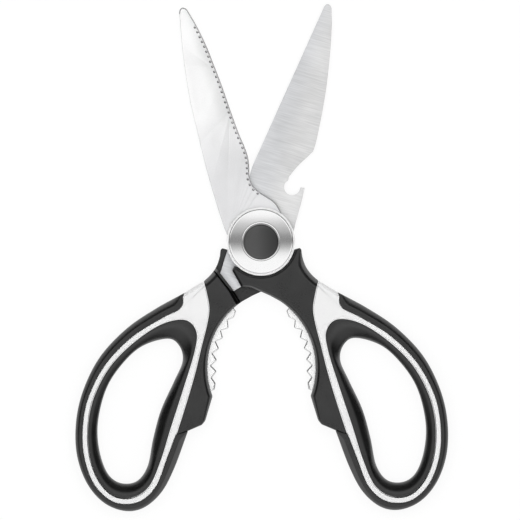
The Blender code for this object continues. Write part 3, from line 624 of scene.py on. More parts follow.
# %% The core: its outline, and the hole through it
STRIPE_INNER = [(-19.6, -38.8), (-14.0, -41.9), (-12.2, -49.7), (-12.1, -65.4), (-12.3, -82.2),
                (-12.3, -95.6), (-13.7, -106.7), (-19.1, -113.1), (-26.6, -114.4), (-34.2, -110.0),
                (-40.5, -101.4), (-44.5, -89.9), (-45.4, -78.2), (-42.7, -64.9), (-36.1, -52.5),
                (-27.9, -42.9)]
STRIPE_GRIP = [(-9.6, -83.9), (-10.2, -93.7), (-11.0, -105.3), (-14.8, -112.7), (-21.1, -116.3),
               (-28.1, -116.2), (-36.1, -111.3), (-42.9, -101.4), (-46.7, -89.3), (-47.4, -78.2),
               (-44.7, -64.7), (-38.0, -51.6), (-29.0, -41.1), (-24.1, -36.5), (-23.0, -35.1),
               (-22.5, -33.3), (-22.9, -31.5), (-23.5, -30.1)]
GRIP_OUTER = [(-5.5, -81.2), (-6.4, -97.2), (-8.6, -107.9), (-13.7, -115.7), (-20.9, -118.94),
              (-29.9, -117.85), (-38.4, -112.2), (-45.3, -102.6), (-49.36, -90.2), (-50.26, -77.2),
              (-47.8, -62.9), (-41.1, -49.2), (-32.4, -38.2), (-23.2, -28.7)]
SHOULDER_WIDTH = 1.7
STRIPE_ROUND = 0.18
CORE_SOFTNESS = 0.15
FLARE_STEPS = 5
GENTLE_ROUND = [(0.0, 50.0), (0.3, 40.0), (0.6, 30.0), (0.9, 10.0), (1.0, 0.0)]
GENTLE = drop_from_slopes(BODY_KNOTS, GENTLE_ROUND)


def core_outline():
    """The core's outer line: beside the body, round the loop, and along the shoulder."""
    body_side = marked(smooth_curve(STRIPE_BODY), STRIPE_ROUND)
    grip_side = marked(smooth_curve(STRIPE_GRIP)[1:], STRIPE_ROUND)
    shoulder = np.linspace(GRIP_OUTER[-1], STRIPE_BODY[0], 30)[:-1]
    shoulder = marked(shoulder, SHOULDER_WIDTH, 1.0)
    return joined([shoulder[::-1], grip_side[::-1], body_side[::-1]], CORE_SOFTNESS)


def inner_line():
    """The line between the white ring and the lining of the finger hole."""
    return spaced(smooth_curve(STRIPE_INNER, closed=True), closed=True)[::-1]


def hole_tool(face):
    """The tool for the hole: straight sides that flare in a quarter round at each face."""
    line = inner_line()
    normal = inward(line)
    turn = np.linspace(0.0, np.pi / 2, FLARE_STEPS)
    flare = STRIPE_ROUND * (1.0 - np.cos(turn))
    height = face - STRIPE_ROUND * (1.0 - np.sin(turn))
    rows = np.array([level(line - normal * (SEAM / 2 + out), z)
                     for out, z in zip([*flare, flare[-1]], [*height, face + 1.0])])
    return loop_mesh("tool", np.concatenate([rows[::-1] * (1.0, 1.0, -1.0), rows]))


profile = np.column_stack([BODY_KNOTS, QUARTER, GENTLE])
core = moulded("core", within_seam(core_outline()), profile, CORE_FACE)
core = cut(core, hole_tool(CORE_FACE))
put_in_both("core_moulding", core, "handle_core", WHITE)

# %% [markdown]
# ## The soft outer grip
# Soft rubber is moulded over the outside of the loop. Beside the stripe it is level. Then
# it dips into a finger groove, and rises again to a thin rim along the outside. Under the
# stop block there is no groove, only a gentle slope. So the same kind of solid is made,
# and the share of the groove changes along the way.

# %% The outer grip
GRIP_LEVEL = 0.95             # level strip beside the stripe
GRIP_KNOTS = np.array([0.0, 0.02, 0.06, 0.12, 0.2, 0.3, 0.4, 0.5, 0.6, 0.7, 0.8, 0.88, 0.94, 1.0])
GROOVE = drop_from_slopes(GRIP_KNOTS, [
    (0.0, 82.0), (0.1, 66.0), (0.3, 54.0), (0.52, 46.0), (0.68, 40.0), (0.84, 34.0),
    (0.94, 18.0), (1.0, 0.0)])
SLOPE = drop_from_slopes(GRIP_KNOTS, [
    (0.0, 80.0), (0.06, 62.0), (0.15, 56.0), (0.82, 53.0), (0.92, 20.0), (1.0, 0.0)])
GRIP_LEAST, GRIP_SHARE = 0.5, 0.6  # its least width, and its most in parts of the grip's
GROOVE_FROM_Y = -104.0        # below the stop block the slope turns into the groove here
SLOPE_FADE = 10.0             # and it does so over this distance
SLOPE_FROM_X, SLOPE_TO_Y = -20.0, -60.0  # there is no slope beyond these
GRIP_END_WIDTH, GRIP_END_TAPER = 0.3, 0.45  # the moulding starts this narrow at the ends
GRIP_SQUEEZE = 0.05           # its soft end is pressed this far against the stop block
GRIP_END_ROUND = 0.22
SEAM_ROUND, SEAM_SHARE = 0.3, 0.25  # beside the stripe
GRIP_SOFTNESS = 0.14


def under_block():
    """The underside of the stop block, from the outside in, where the grip ends against it."""
    edge = body_outline()[:, :2]
    edge += inward(edge) * GRIP_SQUEEZE
    edge = edge[edge[:, 1].argmin():]
    return edge[(edge[:, 0] < GRIP_OUTER[0][0]) & (edge[:, 1] < STOP_BLOCK[1][1])][::-1]


def grip_outline():
    """The outer grip's outline: along the stripe, and back along the outside of the loop."""
    seam = spaced(smooth_curve(STRIPE_GRIP))
    normal = inward(seam)
    normal[[0, -1]] = normal[[1, -2]]
    seam = seam - normal * SEAM / 2
    outer = spaced(smooth_curve(GRIP_OUTER))[::-1]
    apart = np.linalg.norm(outer[:, None, :] - seam[None, :, :], axis=2)
    band, seam_band = apart.min(axis=1), apart.min(axis=0)
    slope_part = np.clip((outer[:, 1] - GROOVE_FROM_Y) / SLOPE_FADE + 1.0, 0.0, 1.0)
    slope_part *= (outer[:, 0] > SLOPE_FROM_X) & (outer[:, 1] < SLOPE_TO_Y)
    walked = lengths(outer)
    from_ends = np.minimum(walked, walked[-1] - walked)
    width = np.minimum(np.maximum(band - GRIP_LEVEL, GRIP_LEAST), GRIP_SHARE * band)
    width = np.minimum(width, GRIP_END_WIDTH + GRIP_END_TAPER * from_ends)
    seam = marked(seam, np.minimum(SEAM_ROUND, SEAM_SHARE * seam_band))
    outer = marked(outer, width, 1.0 - slope_part)
    return joined([seam, outer, marked(under_block(), GRIP_END_ROUND)], GRIP_SOFTNESS)


profile = np.column_stack([GRIP_KNOTS, SLOPE, GROOVE])
grip = moulded("grip", grip_outline(), profile, GRIP_FACE)
put_in_both("grip_moulding", grip, "outer_grip", SOFT)

# %% [markdown]
# ## The soft lining of the finger loop
# The lining starts level with the stripe, falls into a groove for the finger, and ends in
# a thin lip round the hole. It is a ring of one cross-section whose width changes, so a
# profile is carried along two lines: the stripe's edge and the edge of the hole.

# %% The loop lining
FINGER_HOLE = [(-24.1, -48.1), (-18.7, -49.6), (-15.8, -55.0), (-16.7, -63.7), (-18.3, -76.2),
               (-17.9, -88.2), (-16.8, -99.2), (-19.3, -106.3), (-25.6, -108.8), (-31.7, -106.2),
               (-37.5, -98.0), (-41.0, -87.8), (-41.7, -74.7), (-38.7, -63.6), (-33.1, -54.1)]
# share of the way from the stripe to the hole, and the slopes from the hole inwards
LINING_KNOTS = np.array([0.0, 0.012, 0.035, 0.07, 0.14, 0.21, 0.28, 0.35, 0.42, 0.49, 0.56,
                         0.63, 0.7, 0.77, 0.83, 0.88, 0.92, 0.95, 0.98, 1.0])
LINING_SLOPES = [(0.0, 78.0), (0.04, 66.0), (0.12, 53.0), (0.22, 45.0), (0.33, 41.0),
                 (0.48, 37.0), (0.56, 29.0), (0.7, 15.0), (0.85, 3.0), (1.0, 0.0)]
LINING_ROUND = 0.07           # the small round beside the stripe
LINING_DEEP = 6.3             # where the lining is wider than this, it falls no deeper
LINING_DROP = drop_from_slopes(1.0 - LINING_KNOTS, LINING_SLOPES)
LINING_DROP += LINING_ROUND * quarter_round(np.clip(LINING_KNOTS / LINING_ROUND, 0.0, 1.0))
RIM_SOFTNESS, EDGE_SOFTNESS, WIDTH_SOFTNESS = 0.2, 0.6, 1.0


def loop_lining():
    """Carries the profile round the loop, from the stripe's edge to the hole's edge.

    The two lines are matched by their direction from the middle of the hole.
    """
    rim = inner_line()
    rim = softened(rim + inward(rim) * SEAM / 2, RIM_SOFTNESS)
    hole = smooth_curve(FINGER_HOLE, 24, closed=True)
    centre = hole.mean(axis=0)
    ways = hole - centre
    angle, rim_angle = (np.arctan2(way[:, 1], way[:, 0]) for way in (ways, rim - centre))
    order = np.argsort(angle)
    reach = np.linalg.norm(ways, axis=1)[order]
    radius = np.interp(rim_angle, angle[order], reach, period=2 * np.pi)
    edge = centre + radius[:, None] * np.stack([np.cos(rim_angle), np.sin(rim_angle)], axis=1)
    edge = softened(edge, EDGE_SOFTNESS)
    width = np.minimum(np.linalg.norm(edge - rim, axis=1), LINING_DEEP)
    width = softened(width[:, None], WIDTH_SOFTNESS)
    across = rim[None] + (edge - rim)[None] * LINING_KNOTS[:, None, None]
    height = LINING_FACE - LINING_DROP[:, None] * width[None, :, 0]
    top = np.concatenate([across, height[:, :, None]], axis=2)
    return np.concatenate([top, top[::-1] * (1.0, 1.0, -1.0)])


lining = loop_mesh("lining", loop_lining(), ring=True)
put_in_both("lining_moulding", lining, "loop_lining", SOFT)

# %% [markdown]
# ## The blades
# Both blades are stamped from 2.5 mm sheet. The front one is bead-blasted until it is
# nearly white, and its edge is ground from this side: a narrow face all along, with 34
# small gullets that hold a slippery fish. The rear blade shows its flat side, which is
# brushed across. A bottle opener is stamped into its back.

# %% Outlines of the blades
BLADE_THICKNESS = 2.5
FLAT = BLADE_PLAY / 2         # the flat side of each blade, from the rubbing plane
FACE = FLAT + BLADE_THICKNESS
BORE_RADIUS = 4.2
BLADE_GAP = 0.24
FRONT_SPINE = [(-12.4, 14.9), (-12.1, 31.6), (-11.1, 48.0), (-9.7, 64.4), (-7.1, 80.3),
               (-4.5, 92.0), (-3.6, 96.4)]
FRONT_TIP = [(-3.6, 96.4), (-2.9, 97.9), (-1.7, 98.5), (-0.5, 97.8), (0.1, 96.6)]
FRONT_EDGE = [(0.1, 96.6), (1.6, 89.8), (2.9, 81.1), (3.5, 72.5), (4.0, 63.9), (4.3, 52.0),
              (4.7, 43.2), (5.2, 38.3), (5.3, 34.1), (4.7, 30.3), (3.6, 26.6), (3.4, 24.1),
              (3.9, 21.6), (5.4, 19.0), (9.3, 14.3), (10.8, 10.9)]
REAR_EDGE = [(-12.1, 27.9), (-3.5, 97.2)]
REAR_TIP = [(-3.5, 97.2), (-2.9, 98.3), (-1.8, 98.5), (-0.6, 97.6)]
REAR_SPINE = [(-0.6, 97.6), (1.6, 90.9), (4.4, 79.1), (6.7, 67.3), (8.1, 57.3), (9.1, 47.3),
              (9.4, 43.2)]
OPENER_CENTRE, OPENER_RADIUS = (5.5, 24.4), 3.2
OPENER_FROM_DEG, OPENER_TO_DEG = 375.0, 135.0
OPENER_MOUTH = [(9.3, 40.5), (5.2, 33.1), (3.0, 27.9)]
REAR_BACK = [(10.4, 25.6), (10.8, 20.0), (11.1, 11.0)]
SPINE_DEG, EDGE_DEG = 154.4, 32.5
GROUND_WIDTH = 0.5            # ground face along the cutting edge
STAMPED_ROUND = 0.22
BLADE_KNOTS = np.array([0.0, 0.12, 0.3, 0.5, 0.75, 1.0])
GROUND = 0.5 * (1.0 - BLADE_KNOTS)  # a ground face of 27 degrees
BLADE_ROUND = quarter_round(BLADE_KNOTS)
BLADE_SOFTNESS = 0.15
FLAT_ROUND = (0.08, 0.14)     # a tiny chamfer round the flat side, and the loop inside it


def heel(start_deg, end_deg, count=50):
    """The round heel between two directions, without its end points."""
    return arc((0.0, 0.0), HEEL_RADIUS, start_deg, end_deg, count)[1:-1]


def front_blade_outline():
    """Counter-clockwise: the edge from the heel to the tip, the spine, the heel and the tang."""
    edge = smooth_curve(np.vstack([FRONT_EDGE, polar(HEEL_RADIUS, EDGE_DEG)]))[::-1]
    tip = smooth_curve(FRONT_TIP, 10)[::-1]
    spine = smooth_curve(np.vstack([polar(HEEL_RADIUS, SPINE_DEG), FRONT_SPINE]))[::-1]
    tang = tang_outline()[::-1] * (-1.0, 1.0)
    back = np.vstack([spine, heel(SPINE_DEG, 540.0 - TANG_TO_DEG), tang,
                      heel(180.0 - TANG_FROM_DEG, EDGE_DEG)])
    ground = marked(np.vstack([edge, tip[1:-1]]), GROUND_WIDTH, 1.0)
    return joined([ground, marked(back, STAMPED_ROUND)], BLADE_SOFTNESS, BLADE_GAP)


def rear_blade_outline():
    """Counter-clockwise: the back with the opener, the tip, the edge, the heel and the tang."""
    back = smooth_curve(np.vstack([REAR_BACK, polar(HEEL_RADIUS, EDGE_DEG)]))[::-1]
    opener = arc(OPENER_CENTRE, OPENER_RADIUS, OPENER_FROM_DEG, OPENER_TO_DEG, 60)
    up = np.vstack([heel(TANG_TO_DEG - 360.0, EDGE_DEG), back, opener,
                    smooth_curve(OPENER_MOUTH)[::-1], smooth_curve(REAR_SPINE)[::-1],
                    smooth_curve(REAR_TIP, 8)[::-1][1:-1]])
    edge = np.vstack([polar(HEEL_RADIUS, SPINE_DEG), REAR_EDGE])[::-1]
    down = np.vstack([heel(SPINE_DEG, TANG_FROM_DEG), tang_outline()])
    return joined([marked(up, STAMPED_ROUND), marked(edge, GROUND_WIDTH, 1.0),
                   marked(down, STAMPED_ROUND)], BLADE_SOFTNESS, BLADE_GAP)


# %% Gullets along the front blade's edge
GULLET_PITCH = 2.16
GULLET_FROM_Y, GULLET_TO_Y = 18.3, 91.2
GULLET_INSET = 0.8            # middle of each gullet, inside the edge
GULLET_RADIUS = 0.62
GULLET_SLOPE = 0.85
GULLET_LOOPS = (0.62, 0.74, 0.86, 0.98, 1.12, 1.28, 1.46)  # insets of loops that shape them
SPINE_INSET = 0.3             # those loops lie this far inside the other edges
LEAST_WALL = 0.3              # the deepest gullet leaves this much of the sheet


def gullet_centres(outline):
    """Points at even distances along the ground edge, a little inside it."""
    y = outline[:, 1]
    edge = outline[(outline[:, 3] > 0.5) & (y > GULLET_FROM_Y) & (y < GULLET_TO_Y), :2]
    walked = lengths(edge)
    normal = np.stack([-np.gradient(edge[:, 1]), np.gradient(edge[:, 0])], axis=1)
    normal /= np.linalg.norm(normal, axis=1)[:, None]
    at = np.arange(GULLET_PITCH / 2, walked[-1], GULLET_PITCH)
    line = edge + normal * GULLET_INSET
    return np.stack([np.interp(at, walked, line[:, i]) for i in (0, 1)], axis=1)


def bared(mesh, face, over=0.04):
    """Marks bare cut metal: 1 wherever the surface lies lower than the face, 0 on the face."""
    points = np.empty(len(mesh.vertices) * 3)
    mesh.vertices.foreach_get("co", points)
    below = face - np.abs(points[2::3])
    mark = mesh.attributes.new("cut", "FLOAT", "POINT")
    mark.data.foreach_set("value", np.clip(below / over, 0.0, 1.0))
    return mesh


def blade_rows(outline, gullets=None):
    """Loops over the ground side of a blade. A gullet is a cone, deepest at its middle."""
    rows = moulded_rows(outline, np.column_stack([BLADE_KNOTS, BLADE_ROUND, GROUND]))
    if gullets is not None:
        insets = [np.where(outline[:, 3] > 0.5, inset, SPINE_INSET) for inset in GULLET_LOOPS]
        extra = [level(pushed_in(outline[:, :2], inset), 0.0) for inset in insets]
        rows = np.concatenate([rows, extra])
        reach = np.linalg.norm(rows[:, :, None, :2] - gullets, axis=3).min(axis=2)
        rows[:, :, 2] = np.maximum(rows[:, :, 2], GULLET_SLOPE * (GULLET_RADIUS - reach))
    rows[:, :, 2] = np.clip(rows[:, :, 2], 0.0, BLADE_THICKNESS - LEAST_WALL)
    return rows


def blade(outline, gullets=None, ground_up=True):
    """A blade from its outline: flat on one side, ground on the other, bored for the bolt."""
    top = blade_rows(outline, gullets)
    top[:, :, 2] = FACE - top[:, :, 2]
    inner, inside = (pushed_in(outline[:, :2], np.full(len(outline), inset))
                     for inset in FLAT_ROUND)
    edge = level(outline, FLAT + FLAT_ROUND[0])
    rows = np.concatenate([[level(inside, FLAT), level(inner, FLAT), edge], top])
    if not ground_up:
        rows[:, :, 2] *= -1.0
    mesh = loop_mesh("blade", rows)
    mesh = cut(mesh, slab(arc((0.0, 0.0), BORE_RADIUS, 0.0, 360.0, 97)[:-1], -FAR, FAR))
    return bared(mesh, FACE)


TEETH = finish("broached_steel", grey(246), grey(252), (0.4, 0.5), 9.0, 0.35, 0.003, metal=0.1,
               cut_roughness=0.42)
# painted shade: the front blade turns darker towards its cutting edge above y = 42 mm, and from y =
# 62 mm down towards the pivot
BLASTED = finish("blasted_steel", grey(243), grey(254), (0.44, 0.54), 14.0, 0.35, 0.004, metal=0.3,
                 turn_deg=-HALF_OPEN_DEG, cut_roughness=0.18,
                 painted_shades=[([("X", -3.0, 3.0), ("Y", 42.0, 54.0)], (0.83, 0.83, 0.83)),
                         ([("Y", 62.0, 28.0)], (0.79, 0.79, 0.80))])
# painted shade and painted light: the rear blade a little darker and bluer towards its cutting
# edge, and its tang, down in its pocket, painted 1.3 times lighter
BRUSHED = finish("cross_brushed_steel", grey(201), grey(227), (0.36, 0.5), 16.0, 0.5, 0.006,
                 metal=0.45, stretch=(0.05, 1.0, 0.3), turn_deg=HALF_OPEN_DEG,
                 painted_shades=[([("X", 3.0, -6.0)], (0.92, 0.93, 0.95)),
                         ([("Y", -13.5, -18.5)], (1.3, 1.3, 1.3))])
outline = front_blade_outline()
gullets = gullet_centres(outline)
print("gullets:", len(gullets))
put_in("front_blade_ground", blade(outline, gullets), "front", "front_blade",
       BLASTED)
put_in("rear_blade_brushed", blade(rear_blade_outline(), ground_up=False), "rear", "rear_blade",
       BRUSHED)

# %% [markdown]
# ## The jaw plates
# Between the handles two toothed plates of the same blasted steel face each other, to crack
# nuts and shells. Each tooth is broached, so its flanks end in small chamfers.

# %% The toothed plates
TOOTH_ROOT, TOOTH_HEIGHT, END_TOOTH_HEIGHT = 1.75, 1.95, 1.0
TOOTH_TIP_DEG = 0.5
TOOTH_CHAMFER = (0.36, 0.62)  # at the first and the last tooth
JAW_BACK_ROUND = 0.15
JAW_GAP, JAW_SOFTNESS = 0.2, 0.1


def jaw_plate_outline():
    """The plate: a back on one arc, and teeth on smaller arcs about the same centre."""
    tips = np.linspace(TOOTH_FIRST_DEG, TOOTH_LAST_DEG, TOOTH_COUNT)
    roots = np.append(tips - TOOTH_PITCH_DEG / 2, tips[-1] + TOOTH_PITCH_DEG / 2)
    root_radius = JAW_RADIUS - TOOTH_ROOT
    height = np.full(TOOTH_COUNT, TOOTH_HEIGHT)
    height[[0, -1]] = END_TOOTH_HEIGHT
    back = arc(JAW_CENTRE, JAW_RADIUS + JAW_PLATE_DEPTH, roots[-1] + TOOTH_MARGIN_DEG,
               roots[0] - TOOTH_MARGIN_DEG, 60)
    flanks = np.stack([roots[:-1], tips - TOOTH_TIP_DEG, tips + TOOTH_TIP_DEG], axis=1)
    radii = np.stack([np.full(TOOTH_COUNT, root_radius), *[root_radius - height] * 2], axis=1)
    directions = np.append(flanks.ravel(), roots[-1])
    radii = np.append(radii.ravel(), root_radius)[:, None]
    teeth = JAW_CENTRE + radii * polar(1.0, *directions)
    teeth = marked(teeth, np.linspace(*TOOTH_CHAMFER, len(teeth)), 1.0)
    return joined([teeth[::-1], marked(back, JAW_BACK_ROUND)[::-1]], JAW_SOFTNESS, JAW_GAP)


TOOTH_KNOTS = np.array([0.0, 0.1, 0.3, 0.6, 0.85, 1.0])
CHAMFER = 0.75 * (1.0 - TOOTH_KNOTS)
profile = np.column_stack([TOOTH_KNOTS, quarter_round(TOOTH_KNOTS), CHAMFER])
plate = moulded("plate", jaw_plate_outline(), profile, JAW_PLATE_HALF)
put_in_both("jaw_teeth", bared(plate, JAW_PLATE_HALF), "jaw_plate", TEETH)

# %% [markdown]
# ## The pivot
# The ring over the joint is turned and chromed. Its top is part of a very large sphere, so
# it mirrors the studio as bands across the scissors. A thin bevel on the inside catches a
# bright line. In its well sits a black cap over the bolt head. Underneath, a nut with two
# holes for a pin spanner holds the bolt.

# %% Turned pieces
AROUND = 144                  # points round a turned piece
TURNED_DEG = 40.0             # sharper edges aren't shaded smooth
RING_RADIUS = 12.75
RING_CHAMFER = 0.2
FLANGE_RADIUS, FLANGE_TOP = 13.68, 4.8
FLANGE_EDGE = [(0.0, 0.2), (0.12, 0.08)]  # its chamfer: in from the side, below the top
FLANGE_GAP, FLANGE_GAP_DEPTH = 0.24, 0.7  # between the flange and the ring
GAP_SLANT = 0.02              # the gap is a little narrower at its floor
WELL_RADIUS = 7.25
WELL_BEVEL = 0.3
WELL_EDGE = [(0.04, 0.07), (0.0, 0.16)]  # its bevel: out from the wall, below the top
WELL_FLOOR = 4.05
RING_TOP = 6.05
DOME_RADIUS = 105.0
CAP_RADIUS = 6.95
CAP_TOP, CAP_CROWN = 6.3, 0.16
CAP_WALL, CAP_CHAMFER = 0.65, 0.38
CAP_PLAY = (0.07, -0.23)      # the cap lies against the low side of its well
HEAD_LOW = 4.35
HEAD_TOP = 5.55
NUT_TOP, NUT_FLOOR, NUT_ROUND = 5.05, 0.7, 0.35
PIN_HOLE_RADIUS = 0.8


def turned(name, profile):
    """A round piece: a profile of (radius, height) carried round Z. Points on the axis close it."""
    profile = np.asarray(profile, float)
    turn = np.linspace(0.0, 2 * np.pi, AROUND, endpoint=False)
    circle = np.stack([np.cos(turn), np.sin(turn)], axis=1)
    rows = np.array([level(radius * circle, height) for radius, height in profile])
    hollow = profile[0, 0] > 0.0 and profile[-1, 0] > 0.0
    return loop_mesh(name, rows, ring=hollow, smooth_deg=TURNED_DEG)


def ring_profile():
    """Flat below, a low flange and a gap, a chamfer, a domed top, a bevel round the well."""
    gap_floor, bevel = FLANGE_TOP - FLANGE_GAP_DEPTH, WELL_RADIUS + WELL_BEVEL
    r = np.linspace(RING_RADIUS - RING_CHAMFER, bevel, 12)
    dome = RING_TOP - (r ** 2 - bevel ** 2) / (2 * DOME_RADIUS)
    return np.vstack([(BORE_RADIUS, RING_BASE), (FLANGE_RADIUS, RING_BASE),
                      [(FLANGE_RADIUS - side, FLANGE_TOP - down) for side, down in FLANGE_EDGE],
                      (RING_RADIUS + FLANGE_GAP, FLANGE_TOP),
                      (RING_RADIUS + FLANGE_GAP - GAP_SLANT, gap_floor),
                      (RING_RADIUS, gap_floor), (RING_RADIUS, dome[0] - RING_CHAMFER * 0.8),
                      np.stack([r, dome], axis=1),
                      [(WELL_RADIUS + side, RING_TOP - down) for side, down in WELL_EDGE],
                      (WELL_RADIUS, WELL_FLOOR), (BORE_RADIUS, WELL_FLOOR)])


CHROME = finish("polished_chrome", grey(248), grey(252), (0.07, 0.1), 12.0, 0.6, 0.0004,
                metal=1.0)
# painted reflection: the cap's top turns much darker from x = -3 mm towards x = 6.5 mm
CAP = finish("cap_plastic", (0.036,) * 3, (0.044,) * 3, (0.28, 0.36), 6.0, 0.5, 0.02, specular=0.8,
             painted_shades=[([("X", -3.0, 6.5)], (0.05, 0.05, 0.05))])
ring = turned("ring", ring_profile())
for name, node, over in [("front_ring_chromed", "front_pivot_ring", False),
                         ("rear_ring_chromed", "rear_pivot_ring", True)]:
    piece = put_in(name, ring, "rear", node, CHROME, over=over)
    piece.data.materials.append(TEETH)  # the flange is left matt
    centres = np.empty(len(piece.data.polygons) * 3)
    piece.data.polygons.foreach_get("center", centres)
    on_flange = np.hypot(centres[0::3], centres[1::3]) > (RING_RADIUS + 0.02) * MM
    piece.data.polygons.foreach_set("material_index", on_flange.astype(int))


def cap_profile():
    """A shallow cup over the bolt head, with a slightly crowned top and a chamfer."""
    r = np.linspace(CAP_RADIUS - CAP_CHAMFER, 0.0, 10)
    crown = CAP_TOP - CAP_CROWN * (r / CAP_RADIUS) ** 2
    return np.vstack([(0.0, HEAD_TOP + SEAM), (CAP_RADIUS - CAP_WALL, HEAD_TOP + SEAM),
                      (CAP_RADIUS - CAP_WALL, HEAD_LOW), (CAP_RADIUS, HEAD_LOW),
                      (CAP_RADIUS, crown[0] - 0.9 * CAP_CHAMFER),
                      (CAP_RADIUS - 0.05, crown[0] - 0.7 * CAP_CHAMFER),
                      np.stack([r, crown], axis=1)])


def nut_profile():
    """The nut below: a round plate with a soft rim and a blind bore for the bolt's end."""
    low, flat = -REST_HEIGHT, CAP_RADIUS - NUT_ROUND
    return np.vstack([(0.0, low), (flat, low),
                      arc((flat, low + NUT_ROUND), NUT_ROUND, -80.0, 0.0, 7),
                      (CAP_RADIUS, -NUT_TOP), (BORE_RADIUS, -NUT_TOP),
                      (BORE_RADIUS, low + NUT_FLOOR), (0.0, low + NUT_FLOOR)])


cap = turned("cap", cap_profile())
cap.transform(mathutils.Matrix.Translation((*CAP_PLAY, 0.0)))
put_in("cap_moulding", cap, "rear", "pivot_cap", CAP)
nut = turned("nut", nut_profile())
for side in (-1.0, 1.0):
    middle = (side * (BORE_RADIUS + CAP_RADIUS) / 2, 0.0)
    hole = arc(middle, PIN_HOLE_RADIUS, 0.0, 360.0, 33)[:-1]
    nut = cut(nut, slab(hole, -FAR, -REST_HEIGHT + NUT_FLOOR), smooth_deg=TURNED_DEG)
put_in("nut_turned", nut, "rear", "pivot_nut", CHROME)
for node in ("pivot_bolt", "spring_washer"):
    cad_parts[node].data.materials.clear()
    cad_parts[node].data.materials.append(BLASTED)

# %% [markdown]
# ## The studio
# A pale table under a large soft light from all sides, as for a catalogue picture. Five
# soft lamps and the sky add up to a plain level, at which a colour renders as written.
# The sky that metal mirrors has a darker strip overhead, where the camera stands, and is
# darker near the horizon, where the room is.

# %% Table, lamps and sky
WHITE_LIGHT = (1.0, 1.0, 1.0, 1.0)
TABLE_HALF, TABLE_DROP = 3.0, 0.0001  # metres
TABLE_MATT, TABLE_GLOW = 0.14, 0.88  # as the camera and mirrors see the table
TABLE_PLAIN = 0.7             # as it lights the scissors


def maths(tree, operation, first, second):
    """One sum in a shader: a Math node's result."""
    return add_node(tree, "Math", {0: first, 1: second}, operation=operation).outputs[0]


def rays(tree, *kinds):
    """1 for a ray of one of these kinds, and 0 for any other."""
    path = add_node(tree, "LightPath")
    result = path.outputs[kinds[0]]
    for kind in kinds[1:]:
        result = maths(tree, "MAXIMUM", result, path.outputs[kind])
    return result


def table_top():
    """A pale floor that the camera sees as white and that keeps the soft shadow."""
    mesh = bpy.data.meshes.new("table_top")
    corners = [(x * TABLE_HALF, y * TABLE_HALF, -TABLE_DROP)
               for x, y in ((-1, -1), (1, -1), (1, 1), (-1, 1))]
    mesh.from_pydata(corners, [], [(0, 1, 2, 3)])
    material = bpy.data.materials.new("table_top")
    material.use_nodes = True
    tree = material.node_tree
    tree.nodes.clear()
    matt, plain = (add_node(tree, "BsdfDiffuse", {"Color": (*[value] * 3, 1.0)}).outputs[0]
                   for value in (TABLE_MATT, TABLE_PLAIN))
    glow = add_node(tree, "Emission", {"Color": (*[TABLE_GLOW] * 3, 1.0)}).outputs[0]
    bright = add_node(tree, "AddShader", {0: matt, 1: glow}).outputs[0]
    seen = rays(tree, "Is Camera Ray", "Is Glossy Ray", "Is Transmission Ray")
    pick = add_node(tree, "MixShader", {"Fac": seen, 1: plain, 2: bright})
    add_node(tree, "OutputMaterial", {"Surface": pick.outputs[0]})
    mesh.materials.append(material)
    table = bpy.data.objects.new("table_top", mesh)
    bpy.context.scene.collection.objects.link(table)


def soft_lamp(name, azimuth_deg, elevation_deg=60.0, power=0.7, distance=0.9, size=0.55):
    """A square soft lamp that looks at the pivot."""
    lamp = bpy.data.lights.new(name, "AREA")
    lamp.shape = "SQUARE"
    lamp.size = size
    lamp.energy = power
    a, e = math.radians(azimuth_deg), math.radians(elevation_deg)
    item = bpy.data.objects.new(name, lamp)
    item.location = (distance * math.cos(e) * math.cos(a), distance * math.cos(e) * math.sin(a),
                     distance * math.sin(e))
    item.rotation_euler = (math.radians(90.0) - e, 0.0, a + math.radians(90.0))
    item.visible_glossy = False
    item.visible_camera = False
    bpy.context.scene.collection.objects.link(item)


# the strip overhead: how bright it is where a mirror looks, by how far north the ray leans
STRIP = [(-0.30, 1.0), (-0.13, 0.98), (-0.087, 0.85), (-0.06, 0.6), (-0.026, 0.36), (0.0, 0.25),
         (0.03, 0.27), (0.055, 0.33), (0.075, 0.43), (0.1, 0.5), (0.12, 0.565), (0.145, 0.645),
         (0.17, 0.775), (0.195, 0.93), (0.22, 1.0)]
STRIP_SPAN = 0.3
LEAST_UP = 0.05               # below this height a ray leans no further
HORIZON = (0.42, 0.86)        # heights between which the room turns into the strip
ROOM = (-0.6, 0.0, 0.62, 0.03)  # only the southern horizon is lit
SOFT_LIGHT = 0.3


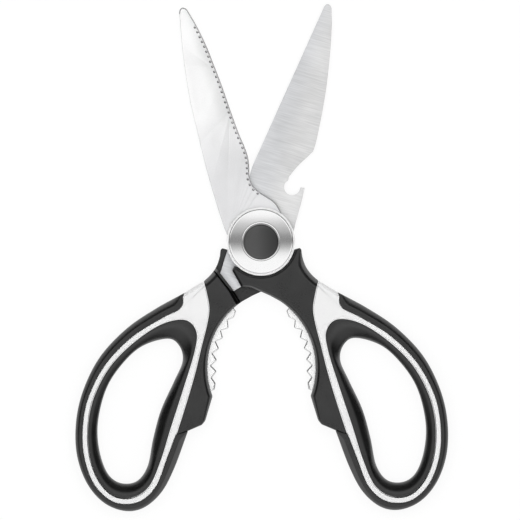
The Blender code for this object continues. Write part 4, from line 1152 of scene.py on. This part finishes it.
def sky():
    """White to the camera, even for soft light, and for mirrors a strip and a horizon."""
    world = bpy.data.worlds.new("sky")
    bpy.context.scene.world = world
    world.use_nodes = True
    tree = world.node_tree
    tree.nodes.clear()
    where = add_node(tree, "TexCoord").outputs["Generated"]
    split = add_node(tree, "SeparateXYZ", {0: where})
    north, up = split.outputs["Y"], split.outputs["Z"]
    lean = maths(tree, "DIVIDE", north, maths(tree, "MAXIMUM", up, LEAST_UP))
    at = maths(tree, "ADD", maths(tree, "DIVIDE", lean, 2 * STRIP_SPAN), 0.5)
    strip = add_node(tree, "ValToRGB", {"Fac": at})
    stops = strip.color_ramp.elements
    while len(stops) < len(STRIP):
        stops.new(0.5)
    for stop, (at, value) in zip(stops, STRIP):
        stop.position = (at + STRIP_SPAN) / (2 * STRIP_SPAN)
        stop.color = (value, value, value, 1.0)
    horizon = ranged(tree, up, *HORIZON, kind="SMOOTHSTEP")
    mirrored = mixed(tree, horizon, ranged(tree, north, *ROOM), strip.outputs["Color"])
    glossy = rays(tree, "Is Glossy Ray", "Is Transmission Ray")
    strength = mixed(tree, glossy, SOFT_LIGHT, mirrored)
    strength = mixed(tree, rays(tree, "Is Camera Ray"), strength, 1.0)
    background = add_node(tree, "Background", {"Color": WHITE_LIGHT, "Strength": strength})
    add_node(tree, "OutputWorld", {"Surface": background.outputs[0]})


table_top()
for name, azimuth in [("east", 0.0), ("north", 90.0), ("west", 180.0), ("south", 270.0)]:
    soft_lamp(f"lamp_{name}", azimuth)
soft_lamp("lamp_above", 0.0, elevation_deg=90.0, power=3.7)
sky()
bpy.context.scene.view_settings.view_transform = "Standard"

# %% [markdown]
# ## The camera
# The photograph was taken from far above with a long lens, so parallel lines stay
# parallel. The camera looks straight down and is turned by a quarter of a degree.

# %% The camera
LENS, SENSOR = 600.0, 36.0
FIELD = 207.63                # millimetres across the picture
OVER = (-0.4, -7.41)
SIGHT_HEIGHT = 9.0            # the field is measured at this height
ROLL_DEG = -0.25

camera = bpy.data.cameras.new("camera")
camera.lens, camera.sensor_width = LENS, SENSOR
camera.clip_start, camera.clip_end = 0.1, 20.0
eye = bpy.data.objects.new("camera", camera)
eye.location = (OVER[0] * MM, OVER[1] * MM, (SIGHT_HEIGHT + FIELD * LENS / SENSOR) * MM)
eye.rotation_euler = (0.0, 0.0, math.radians(ROLL_DEG))
bpy.context.scene.collection.objects.link(eye)
bpy.context.scene.camera = eye
